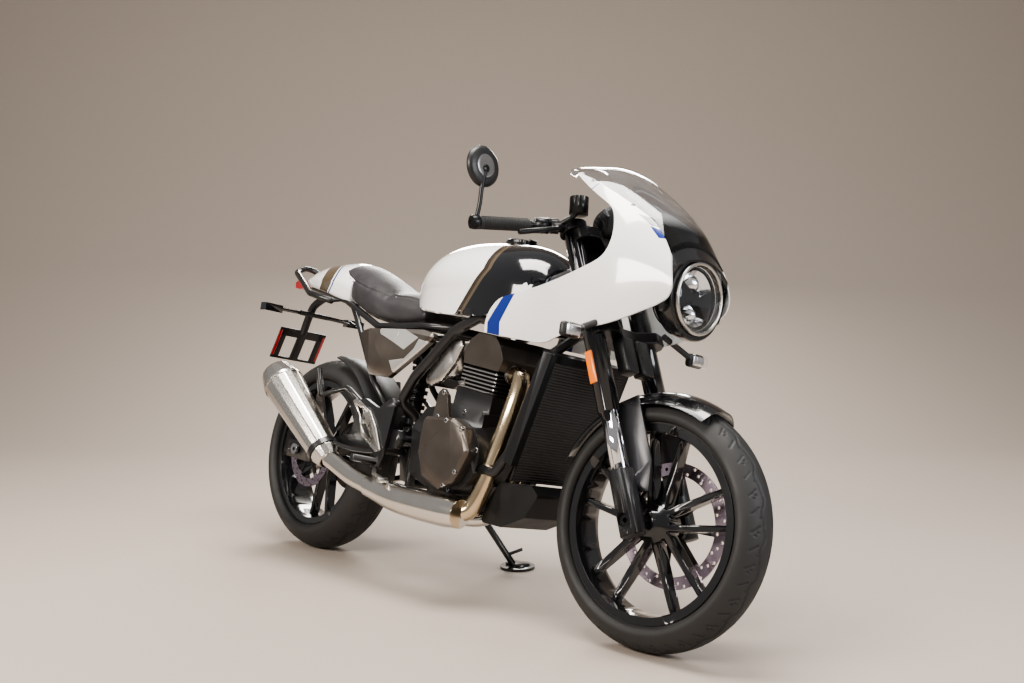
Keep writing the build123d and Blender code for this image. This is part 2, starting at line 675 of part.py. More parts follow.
def make_exhaust():
    """Two header pipes that meet under the engine, a shielded collector and the tapered muffler."""
    right = tube([(868, -56, 604), (914, -64, 600), (922, -82, 520), (872, -92, 340), (834, -102, 252),
                  (786, -128, 234), (700, -148, 236)], pipe_radius, (30, 60, 90, 60, 40))
    left = tube([(868, 52, 604), (912, 52, 600), (912, 44, 520), (866, 20, 330), (826, -30, 236), (790, -90, 222),
                 (720, -140, 232)], pipe_radius, (30, 60, 90, 50, 40))
    flanges = disc_at((872, -56, 604), 28) + disc_at((872, 52, 604), 28)
    collector = tube([(794, -150, 236), (520, -150, 240), (300, -168, 286), (262, -184, 300)], 31, (60, 40))
    shape = right + left + flanges + collector
    for other in ("crankcase", "cylinder_head", "cylinder", "belly_guard", "main_frame"):
        shape -= nodes[other]
    keep("exhaust_header", largest(shape))
    low, high = Vector(268, -186, 300), Vector(-42, -226, 540)
    along = (high - low).normalized()
    length = (high - low).length
    stations = ((-6, 36), (26, 46), (length * 0.85, 63), (length, 48))
    sections = [Plane(origin=low + along * at, z_dir=along) * Circle(r) for at, r in stations]
    can = loft(sections, ruled=True)
    mouth = high - along * 46
    can -= rod(mouth, high + along, 26)
    strap_low = low + along * 96
    can += rod(strap_low, strap_low + along * 22, 53)
    hanger = rod(strap_low + along * 11, (132, -152, 478), 7)
    can += hanger
    keep("muffler", can - nodes["exhaust_header"])


def disc_at(centre, radius):
    """A flange on the front of the head, square to the exhaust port."""
    x, y, z = centre
    return rod((x - 6, y, z), (x + 6, y, z), radius)


# Bodywork


def arch(x, half, low, shoulder, top):
    """A bodywork section at one x: flat floor, upright sides, and an arc over the top."""
    x = carried((x, 0, 0)).X
    return make_face([
        Line((x, -half, low), (x, half, low)),
        Line((x, half, low), (x, half, shoulder)),
        ThreePointArc((x, half, shoulder), (x, 0, top), (x, -half, shoulder)),
        Line((x, -half, shoulder), (x, -half, low)),
    ])


def make_tank():
    """The fuel tank: one loft, narrow where the knees go, with the filler's seat cut in its top."""
    table = (
        # x, half width, floor, shoulder, top
        (424, 62, 800, 850, 903),
        (510, 104, 768, 838, 958),
        (640, 132, 756, 836, 983),
        (770, 140, 752, 836, 980),
        (890, 132, 760, 840, 962),
        (976, 88, 800, 850, 902),
    )
    wall = tank_wall
    tank = loft([arch(*row) for row in table])
    ends = {table[0][0]: wall, table[-1][0]: -wall}
    inside = loft([arch(x + ends.get(x, 0), half - wall, low + wall, shoulder, top - wall)
                   for x, half, low, shoulder, top in table])
    cap_axis = Vector(*cap_lean)
    sill = carried(cap_centre) - cap_axis * cap_depth
    tunnel = [(390, 730), (390, 796), (500, 800), (1010, 850), (1010, 730)]
    tank -= plate(tunnel, -tunnel_half, tunnel_half)
    tank -= rod(sill, sill + cap_axis * 60, cap_radius + cap_gap)
    inside -= plate([(x, z + wall) for x, z in tunnel], -tunnel_half - wall, tunnel_half + wall)
    inside -= rod(sill - cap_axis * wall, sill + cap_axis * 60, cap_radius + cap_gap + wall)
    keep("fuel_tank", tank - inside - nodes["main_frame"])
    base = sill + cap_axis * seat_gap
    cap = rod(base, base + cap_axis * (cap_depth + 3), cap_radius)
    cap = chamfer(cap.edges().sort_by(Axis.Z)[-1], 2)
    hinge = carried(cap_centre) + Vector(cap_radius, 0, cap_hinge_height)
    cap += rod(hinge - Vector(0, 12, 0), hinge + Vector(0, 12, 0), cap_hinge_radius)
    keep("fuel_cap", cap, "fuel_cap")


def make_seat():
    """The solo seat pad and the cowl behind it."""
    pad = plate([(-14, 930), (116, 914), (222, 872), (310, 836), (424, 830), (470, 800), (500, 752), (314, 738),
                 (196, 762), (100, 822), (-6, 880)], -116, 116, 12)
    limits = make_face(Polyline((-20, -84, 0), (120, -112, 0), (260, -114, 0), (380, -98, 0), (520, -96, 0),
                                (520, 96, 0), (380, 98, 0), (260, 114, 0), (120, 112, 0), (-20, 84, 0), close=True))
    pad &= extrude(Pos(0, 0, 700) * limits, 300)
    keep("seat", largest(pad - nodes["rear_subframe"] - nodes["fuel_tank"]))
    cowl = plate([(-20, 934), (-140, 930), (-262, 886), (-262, 862), (-120, 838), (20, 806), (122, 786), (96, 816),
                  (-12, 876)], -118, 118, 6)
    limits = make_face(Polyline((-270, -44, 0), (-160, -84, 0), (-20, -106, 0), (130, -120, 0), (130, 120, 0),
                                (-20, 106, 0), (-160, 84, 0), (-270, 44, 0), close=True))
    cowl &= extrude(Pos(0, 0, 700) * limits, 300)
    keep("tail_cowl", cowl - nodes["rear_subframe"] - nodes["seat"])


def make_tail():
    """Grab rail, tail light, plate bracket and indicators at the back."""
    half_loop = [(30, -112, 792), (-100, -116, 816), (-296, -62, 902), (-322, 0, 930)]
    loop = half_loop + [(x, -y, z) for x, y, z in half_loop[-2::-1]]
    rail = tube(loop, 10, 50)
    for side in (-1, 1):
        rail += rod((60, side * 100, 800), (16, side * 112, 794), 8)
    keep("grab_rail", rail - nodes["rear_subframe"] - nodes["tail_cowl"])
    lamp = plate([(-292, 846), (-262, 842), (-236, 850), (-236, 872), (-270, 876), (-296, 866)], -58, 58, 4)
    keep("tail_light", lamp - nodes["tail_cowl"] - nodes["grab_rail"])
    arm = tube([(-140, 0, 838), (-236, 0, 800), (-288, 0, 700)], 14, 40)
    arm += rod((-236, -52, 760), (-236, 52, 760), 9)
    board = plate([(-282, 704), (-329, 596), (-334, 598), (-287, 706)], -92, 92)
    face = Vector(-108, 0, 47).normalized()
    for side in (-1, 1):
        spot = Vector(-302, side * plate_hole_y, 668)
        board -= rod(spot - face * 20, spot + face * 20, plate_hole_radius)
    arm += board
    keep("number_plate", arm - nodes["tail_cowl"] - nodes["tail_light"] - nodes["rear_subframe"])
    lamps = []
    for side in (-1, 1):
        body = rod((-238, side * (52 + seat_gap), 760), (-238, side * 140, 758), 7)
        body += Pos(-238, side * 168, 756) * Rot(0, 0, 0) * Box(34, 66, 26)
        lamps += body.solids()
    keep("rear_indicators", as_one(lamps))


def make_fairing():
    """The half fairing and the screen: one arched form, cut apart along the screen's edge."""
    outer = loft([arch(*row) for row in fairing_table])
    wall = panel_thickness
    inner = loft([arch(x - (wall if x > 1400 else 0), half - wall, low - wall, shoulder - 1, top - wall)
                  for x, half, low, shoulder, top in fairing_table])
    shell = outer - inner - block((800, -60, 500), (1300, 60, 1000))
    shell -= block((840, -200, 500), (852, 200, 1300))
    side_view = [(872, 707), (876, 761), (913, 791), (972, 804), (1064, 828), (1158, 850), (1245, 883), (1276, 907),
                 (1276, 951), (1239, 1011), (1164, 1046), (1068, 1087), (1024, 1108), (1030, 1132), (1091, 1118),
                 (1285, 1014), (1353, 984), (1440, 900), (1440, 790), (1369, 772), (1233, 728), (1091, 679)]
    panel = shell & plate(side_view, -260, 260)
    screen_view = [(1031, 1132 + screen_gap), (1091, 1118 + screen_gap), (1285, 1014 + screen_gap),
                   (1353, 984 + screen_gap), (1440, 900 + screen_gap), (1440, 1250), (1090, 1250), (1020, 1150)]
    screen = shell & plate(screen_view, -260, 260)
    hole = rod((1340, 0, lamp_centre[2]), (1460, 0, lamp_centre[2]), lamp_radius + 4)
    keep("fairing", panel - hole)
    keep("windscreen", screen - hole)


def fairing_room():
    """The space inside the fairing's walls, which its stays may fill but not pierce."""
    gap = panel_thickness + seat_gap
    return loft([arch(x, half - gap, low - 200, shoulder - 1, top - gap) for x, half, low, shoulder, top
                 in fairing_table])


def make_headlight():
    """The round headlight and lens, and the stay that carries lamp and fairing from the steering head."""
    cx, cy, cz = lamp_centre
    bowl = rod((cx - 96, cy, cz), (cx - 40, cy, cz), lamp_radius - 12)
    bowl += rod((cx - 40, cy, cz), (cx + 6, cy, cz), lamp_radius)
    bowl -= rod((cx - 6, cy, cz), (cx + 10, cy, cz), lamp_radius - 9)
    keep("headlight", bowl)
    keep("headlight_lens", rod((cx - 6 + seat_gap, cy, cz), (cx + 2, cy, cz), lamp_radius - 9 - seat_gap))
    back = carried((cx - 96 - seat_gap, 0, cz))
    spine_start = on_stem(600) + ahead_of_fork * (head_tube_radius - 2)
    stay = tube([spine_start, spine_start + Vector(60, 0, 0), back - Vector(50, 0, 0), back], 16, 30)
    stay += rod(back - Vector(6, 0, 0), back, 40)
    cross_x = cx - 120
    stay += rod((cross_x, -190, cz + 4), (cross_x, 190, cz + 4), 7)
    stay += mirrored(rod((960, -92, 735), (960, -200, 738), 7))
    stay &= fairing_room()
    keep("fairing_stay", stay - nodes["main_frame"])


def make_panels():
    """Side panels below the seat."""
    outline = [(254, 694), (300, 706), (560, 708), (624, 694), (560, 648), (426, 562), (330, 566)]
    panel = plate(outline, -140, -118, 10)
    panel = chamfer(panel.faces().sort_by(Axis.Y)[0].edges(), 5)
    keep("side_panels", pair(panel - nodes["rear_subframe"] - nodes["main_frame"]))


def make_footrests():
    """Footrest hangers with rider and passenger pegs, and the two pedals."""
    outline = [(300, 484), (350, 494), (420, 470), (478, 506), (498, 484), (478, 366), (462, 296), (424, 296),
               (410, 350), (352, 420)]
    hanger = plate(outline, -146, -arm_inner - arm_thickness - 2, 8)
    hanger += rod((440, -146, 316), (440, -226, 322), 11)
    hanger += tube([(346, -140, 470), (250, -148, 520), (118, -150, 486)], 8, 40)
    hanger += rod((118, -150, 486), (92, -156, 566), 10)
    hanger += rod((486, -140, 492), (486, -108, 492), 10)
    twin = mirror(hanger, Plane.XZ)
    right = hanger - nodes["main_frame"] - nodes["rear_subframe"] - nodes["muffler"]
    left = twin - nodes["main_frame"] - nodes["rear_subframe"]
    keep("footrest_hangers", as_one([right, left]))
    brake = tube([(452, -150, 294), (490, -178, 284), (560, -194, 274)], 6, 20)
    brake += rod((560, -182, 274), (560, -214, 274), 8)
    gear = mirror(brake, Plane.XZ)
    keep("foot_controls", as_one([brake - hanger, gear - twin]))


def make_chain():
    """The drive chain: one closed loop round both sprockets."""
    fx, fz = front_sprocket
    rear = Vector(0, 0, rear_axle_height)
    front = carried((fx, 0, fz))
    span = front - rear
    heading = atan2(span.Z, span.X)
    spread = asin((chain_pitch_radius - front_sprocket_pitch_radius) / span.length)

    def loop(grow):
        big, small = chain_pitch_radius + grow, front_sprocket_pitch_radius + grow
        y = chain_y - chain_width / 2

        def at(centre, r, angle):
            return (centre.X + r * cos(angle), y, centre.Z + r * sin(angle))

        over = heading + radians(90) - spread
        under = heading - radians(90) + spread
        back = heading + radians(180)
        face = make_face([
            Line(at(rear, big, over), at(front, small, over)),
            ThreePointArc(at(front, small, over), at(front, small, heading), at(front, small, under)),
            Line(at(front, small, under), at(rear, big, under)),
            ThreePointArc(at(rear, big, under), at(rear, big, back), at(rear, big, over)),
        ])
        return extrude(face, chain_width, dir=(0, 1, 0))

    keep("drive_chain", loop(chain_half_height) - loop(-chain_half_height))


def make_rear_guard():
    """The mudguard that hugs the rear tyre, carried by the swingarm."""
    inner = rear_radius + 12
    outer = inner + panel_thickness
    half = rear_half_width + 4
    section = make_face(Polyline((inner - 6, -half, 0), (inner, -half + 12, 0), (inner, half - 12, 0),
                                 (inner - 6, half, 0), (outer - 6, half, 0), (outer, half - 12, 0),
                                 (outer, -half + 12, 0), (outer - 6, -half, 0), close=True))
    start, end = 12.0, 78.0
    band = Pos(*rear_centre) * (Rot(0, -start, 0) * revolve(section, -Axis.Y, end - start))
    for side in (-1, 1):
        y0, y1 = sorted((side * (half - 3), side * (arm_inner + 6)))
        band += plate([(250, 372), (310, 380), (310, 440), (262, 470)], y0, y1)
    cut = nodes["swingarm"] + nodes["drive_chain"] + nodes["shock_absorber"]
    clear_chain = block((200, chain_y - chain_width / 2 - 3, 200), (340, chain_y + chain_width / 2 + 3, 460))
    band -= clear_chain
    keep("rear_mudguard", largest(band - cut))


def make_indicators():
    """Front indicators on short stems from the fairing's sides."""
    lamps = []
    for side in (-1, 1):
        stem = rod((1232, side * 172, 742), (1240, side * 214, 716), 8)
        stem += Pos(*carried((1250, side * 240, 708))) * Box(34, 62, 36)
        lamps += [largest(stem - nodes["fairing"])]
    keep("front_indicators", as_one(lamps))


# Stance: how the upright machine stands on its wheels and stand


def stance():
    """Pitch and lift that set both tyres on the floor once the machine leans."""
    pitch, lift = 0.0, 0.0
    for _ in range(6):
        front, rear = wheel_low(pitch, True), wheel_low(pitch, False)
        pitch += degrees(asin((front - rear) / wheelbase))
        lift = -wheel_low(pitch, False)
    return pitch, lift


def crown_radius(radius, half_width, shoulder):
    """Radius of the tyre's crown, an arc across the tread."""
    return (half_width ** 2 + shoulder ** 2) / (2 * shoulder)


def lean_point(point, pitch):
    """A point of the upright machine after pitch and lean, before the lift."""
    tipped = turned(point, Axis.Y, pitch)
    return turned(tipped, Axis.X, -lean_angle)


def wheel_low(pitch, front):
    """Height of a tyre's lowest point after pitch and lean."""
    if front:
        centre = turned(front_centre, steering_axis, steer_at_rest)
        spin = turned(front_centre + Vector(0, 1, 0), steering_axis, steer_at_rest) - centre
        radius, crown = front_radius, crown_radius(front_radius, front_half_width, 36.0)
    else:
        centre, spin = rear_centre, Vector(0, 1, 0)
        radius, crown = rear_radius, crown_radius(rear_radius, rear_half_width, 45.0)
    place = lean_point(centre, pitch)
    across = lean_point(centre + spin, pitch) - place
    return place.Z - (radius - crown) * sqrt(1 - across.Z ** 2) - crown


def main():
    make_wheels()
    make_fork()
    make_front_mudguard()
    make_bars()
    make_instrument()
    make_frame()
    make_subframe()
    make_swingarm()
    make_shock()
    make_calipers()
    make_engine()
    make_radiator()
    make_exhaust()
    make_tank()
    make_seat()
    make_tail()
    make_fairing()
    make_headlight()
    make_panels()
    make_footrests()
    make_chain()
    make_rear_guard()
    make_indicators()
    write_out()


def write_out():
    """Steers, leans and places every piece, then writes one file for each."""
    pitch, lift = stance()

    def stand_up(shape):
        return Pos(0, 0, lift) * shape.rotate(Axis.Y, pitch).rotate(Axis.X, -lean_angle)

    def placed(point):
        return lean_point(point, pitch) + Vector(0, 0, lift)

    placed_nodes = {}
    for name, shape in nodes.items():
        if body_of[name] in ("steering", "front_wheel"):
            shape = shape.rotate(steering_axis, steer_at_rest)
        placed_nodes[name] = stand_up(shape)
    hinge = placed(carried(stand_pivot))
    hinge_line = (placed(carried(stand_pivot) + Vector(*stand_axis)) - hinge).normalized()
    foot = Vector(*stand_foot_world, 0)
    eye = rod(hinge - hinge_line * stand_eye_half, hinge + hinge_line * stand_eye_half, 17)
    eye -= rod(hinge - hinge_line * 20, hinge + hinge_line * 20, stand_pin_radius + running_fit)
    ankle = foot + Vector(-6, -14, stand_foot_thickness + 6)
    away = (ankle - hinge).normalized()
    leg = rod(hinge + away * 14, ankle, 10)
    pad = extrude(Plane(origin=foot) * Circle(stand_foot_radius), stand_foot_thickness)
    shoe = Pos(foot.X, foot.Y, stand_foot_thickness + 3) * Box(60, 42, 8)
    tang = rod(ankle - away * 34, ankle - away * 34 + Vector(46, 18, 22), 5)
    placed_nodes["side_stand"] = eye + leg + pad + shoe + tang
    body_of["side_stand"] = "side_stand"

    whole = as_one(placed_nodes.values())
    box = whole.bounding_box()
    shift = Vector(-(box.min.X + box.max.X) / 2, -(box.min.Y + box.max.Y) / 2, -box.min.Z)
    os.makedirs("parts", exist_ok=True)
    for name, shape in placed_nodes.items():
        solids = (Pos(*shift) * shape).solids()
        export_step(solids[0] if len(solids) == 1 else as_one(solids), f"parts/{name}.step")

    def line(point, along, steered=False):
        """A point and a direction of the upright machine, as they lie in the finished part."""
        start, end = Vector(*point), Vector(*point) + Vector(*along)
        if steered:
            start, end = turned(start, steering_axis, steer_at_rest), turned(end, steering_axis, steer_at_rest)
        here = placed(start)
        return [list(here + shift), list((placed(end) - here).normalized())]

    places = {
        "front_axle": line(front_centre, (0, 1, 0), True),
        "rear_axle": line(rear_centre, (0, 1, 0)),
        "steering": line(on_stem(600), up_fork),
        "side_stand": line(carried(stand_pivot), stand_axis),
        "fuel_cap": line(carried(cap_centre) + Vector(cap_radius, 0, cap_hinge_height), (0, 1, 0)),
        "front_axle_end": line(front_centre - Vector(0, fork_half_gap + leg_radius - 8, 0), (0, -1, 0), True),
        "bobbin_right": line((bobbin_x, -(arm_inner + arm_thickness + 8), bobbin_z), (0, -1, 0)),
        "bobbin_left": line((bobbin_x, arm_inner + arm_thickness + 8, bobbin_z), (0, 1, 0)),
        "plate_face": line((-302, 0, 668), (-108, 0, 47)),
        "rail_gap": line((-286, 0, 912), (0, 0, 1)),
        "chain_gap": line((240, chain_y, 340), (0, 0, 1)),
    }
    print("pitch", round(pitch, 4), "lift", round(lift, 3), "shift", [round(v, 3) for v in shift])
    print("box", [round(v, 2) for v in box.size])
    print("PLACES " + json.dumps({name: [[round(v, 5) for v in part] for part in pair_] for name, pair_ in places.items()}))
    print("BODIES " + json.dumps({body: [n for n in placed_nodes if body_of[n] == body]
                                  for body in dict.fromkeys(body_of.values())}))


main()
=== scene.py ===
# %% [markdown]
# A cafe racer motorcycle that leans on its side stand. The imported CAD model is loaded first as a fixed
# frame: it holds every size, joint and place. This script only dresses it. Hard parts keep their CAD shape
# and get a finish; soft, moulded and patterned parts are modelled here and stand for their CAD nodes.

# %% Load the frame
import json
from math import asin, atan2, cos, degrees, hypot, pi, radians, sin, tau

import bmesh
import bpy
from mathutils import Matrix, Vector

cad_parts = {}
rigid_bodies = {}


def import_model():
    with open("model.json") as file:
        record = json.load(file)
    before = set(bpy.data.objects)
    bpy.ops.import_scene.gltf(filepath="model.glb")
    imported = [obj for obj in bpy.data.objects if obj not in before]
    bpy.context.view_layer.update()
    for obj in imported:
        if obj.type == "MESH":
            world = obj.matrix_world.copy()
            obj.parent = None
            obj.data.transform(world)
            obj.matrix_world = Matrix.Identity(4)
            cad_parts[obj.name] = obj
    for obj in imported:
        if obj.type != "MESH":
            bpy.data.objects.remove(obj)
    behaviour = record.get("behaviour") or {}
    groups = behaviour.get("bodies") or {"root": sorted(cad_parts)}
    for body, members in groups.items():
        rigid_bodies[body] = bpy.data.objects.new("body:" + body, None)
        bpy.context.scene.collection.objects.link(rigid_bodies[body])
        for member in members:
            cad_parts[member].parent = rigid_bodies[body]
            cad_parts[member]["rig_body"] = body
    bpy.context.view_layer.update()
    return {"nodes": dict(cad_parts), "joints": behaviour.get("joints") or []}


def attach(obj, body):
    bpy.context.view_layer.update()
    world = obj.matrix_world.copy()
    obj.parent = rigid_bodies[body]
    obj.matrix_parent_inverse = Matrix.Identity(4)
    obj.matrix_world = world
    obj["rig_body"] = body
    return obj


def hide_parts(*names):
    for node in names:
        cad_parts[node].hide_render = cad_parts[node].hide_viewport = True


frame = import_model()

nodes = frame["nodes"]
body_of = {name: piece["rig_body"] for name, piece in nodes.items()}
scene = bpy.context.scene

# %% [markdown]
# The machine leans to its left and the front end is turned a little. Most places are easier to think of on
# the upright machine, measured in millimetres forward from the rear axle, to the left, and up from the
# floor. One matrix carries such a place into the frame's metres. Its shift comes from the rear axle's
# joint in the record, so it follows the CAD model.

# %% Upright places
MM = 0.001
LEAN = radians(11.34)
PITCH = radians(0.0539)
WHEELBASE = 1377.0
FRONT_AXLE_HEIGHT = 293.0
REAR_AXLE_HEIGHT = 306.0
RAKE = radians(24.5)
STEERED = radians(3.26)
STEERING_FOOT = Vector((WHEELBASE + 101.5, 0.0, 0.0))
UP_FORK = Vector((-sin(RAKE), 0.0, cos(RAKE)))
AHEAD_OF_FORK = Vector((cos(RAKE), 0.0, sin(RAKE)))
FRONT_AXLE = Vector((WHEELBASE, 0.0, FRONT_AXLE_HEIGHT))
REAR_AXLE = Vector((0.0, 0.0, REAR_AXLE_HEIGHT))
FORK_HALF_GAP = 105.8
LAMP_CENTRE = Vector((1410.0, 0.0, 828.0))

rear_spin = next(joint for joint in frame["joints"] if joint["name"] == "rear_wheel_spin")
stand_up = Matrix.Rotation(-LEAN, 4, "X") @ Matrix.Rotation(PITCH, 4, "Y")
shift = Vector(rear_spin["pos_m"]) / MM - stand_up @ REAR_AXLE
upright_to_frame = Matrix.Scale(MM, 4) @ Matrix.Translation(shift) @ stand_up
turn_bars = (Matrix.Translation(STEERING_FOOT) @ Matrix.Rotation(STEERED, 4, UP_FORK)
             @ Matrix.Translation(-STEERING_FOOT))
steered_to_frame = upright_to_frame @ turn_bars


def place(x, y, z, steered=False):
    """A point of the upright machine, in millimetres, as the frame's metres."""
    return (steered_to_frame if steered else upright_to_frame) @ Vector((x, y, z))


def on_fork(distance, y=0.0, ahead=0.0):
    """A point by its distance up the fork from the axle, still upright and unsteered."""
    return FRONT_AXLE + UP_FORK * distance + AHEAD_OF_FORK * ahead + Vector((0, y, 0))


print("wheels' axles:", place(*REAR_AXLE), place(*FRONT_AXLE, steered=True))

# %% [markdown]
# The camera stands where the photographer stood, right of the front wheel and at the height of the tank.
# Its place, direction and lens were solved from the wheels and other known points of the machine.

# %% Camera
CAMERA_PLACE = (2.3012, -2.0866, 0.8296)
CAMERA_YAW = 2.395708
CAMERA_PITCH = -0.0464507
LENS_MM = 37.68

bpy.ops.object.camera_add(location=CAMERA_PLACE,
                          rotation=(pi / 2 + CAMERA_PITCH, 0, CAMERA_YAW - pi / 2))
camera = bpy.context.object
camera.name = "photo_camera"
camera.data.lens = LENS_MM
camera.data.sensor_width = 36.0
camera.data.clip_end = 60.0
scene.camera = camera

# %% [markdown]
# The stage is a pale sweep: a floor that curves up into a wall, so that no horizon line cuts the picture.
# The light is that of a studio: one wide soft box overhead, a long key light from the camera's left, a
# cooler fill from the front and a rim light from behind that draws the edges of the black parts.


# %% Stage and light
def deselect_all():
    """Leaves nothing selected, because an operator acts on all that is."""
    if bpy.context.object and bpy.context.object.mode != "OBJECT":
        bpy.ops.object.mode_set(mode="OBJECT")
    bpy.ops.object.select_all(action="DESELECT")


SWEEP_SIZE = 16.0
SWEEP_WALL = 7.0
SWEEP_BACK = 4.5
SWEEP_BEND, BEND_STEPS = 2.6, 24
PAPER_COLOUR = (0.40, 0.345, 0.30, 1)

deselect_all()
bpy.ops.mesh.primitive_plane_add(size=SWEEP_SIZE, location=(0, 0, 0))
sweep = bpy.context.object
sweep.name = "studio_sweep"
mesh = bmesh.new()
mesh.from_mesh(sweep.data)
far_edge = max(mesh.edges, key=lambda edge: sum(v.co.y for v in edge.verts))
raised = bmesh.ops.extrude_edge_only(mesh, edges=[far_edge])
for v in raised["geom"]:
    if isinstance(v, bmesh.types.BMVert):
        v.co.z += SWEEP_WALL
bmesh.ops.bevel(mesh, geom=[far_edge], offset=SWEEP_BEND, segments=BEND_STEPS, affect="EDGES", profile=0.5)
mesh.to_mesh(sweep.data)
mesh.free()
sweep.rotation_euler.z = CAMERA_YAW - pi / 2
sweep.location = Vector((cos(CAMERA_YAW), sin(CAMERA_YAW), 0)) * (SWEEP_BACK - SWEEP_SIZE / 2 + 0.5)
bpy.ops.object.shade_smooth()
sweep_paint = bpy.data.materials.new("studio_paper")
sweep_paint.use_nodes = True
paper = sweep_paint.node_tree.nodes["Principled BSDF"]
paper.inputs["Base Color"].default_value = PAPER_COLOUR
paper.inputs["Roughness"].default_value = 0.75
sweep.data.materials.append(sweep_paint)


def area_light(name, at, towards, size, power, colour):
    """A soft box at one place, aimed at another."""
    bpy.ops.object.light_add(type="AREA", location=at)
    lamp = bpy.context.object
    lamp.name = name
    lamp.data.shape = "RECTANGLE"
    lamp.data.size, lamp.data.size_y = size
    lamp.data.energy = power
    lamp.data.color = colour
    lamp.rotation_euler = (Vector(towards) - Vector(at)).to_track_quat("-Z", "Y").to_euler()
    return lamp


area_light("overhead_softbox", (0.2, -0.3, 3.6), (0, 0, 0.4), (2.4, 1.3), 150, (1.0, 0.96, 0.91))
area_light("key_strip", (0.2, -3.6, 2.3), (0, 0, 0.55), (2.6, 0.9), 125, (1.0, 0.93, 0.85))
area_light("front_fill", (3.6, 0.4, 1.7), (0.3, 0, 0.6), (1.6, 1.6), 55, (0.93, 0.96, 1.0))
area_light("rim_light", (-2.6, 2.6, 2.4), (0, 0, 0.6), (2.4, 0.8), 90, (1.0, 0.97, 0.92))

world = bpy.data.worlds.new("studio_air")
scene.world = world
world.use_nodes = True
air = world.node_tree.nodes["Background"]
air.inputs["Color"].default_value = (0.86, 0.84, 0.82, 1)
air.inputs["Strength"].default_value = 0.30
scene.view_settings.view_transform = "AgX"
scene.view_settings.look = "AgX - Medium High Contrast"
scene.view_settings.exposure = 0.35

# %% [markdown]
# Every finish is a small tree of nodes round one shader. A real surface is never one flat value, so the
# common recipe takes a colour and a roughness, lets a noise drift both a little, and raises a fine grain
# as bump. A bevel node softens each hard edge so that it catches the light, and marks the edges where
# paint wears thin. Patterns read object coordinates: in metres for grain, and through a mapping node in
# the upright machine's millimetres for bands and stripes.


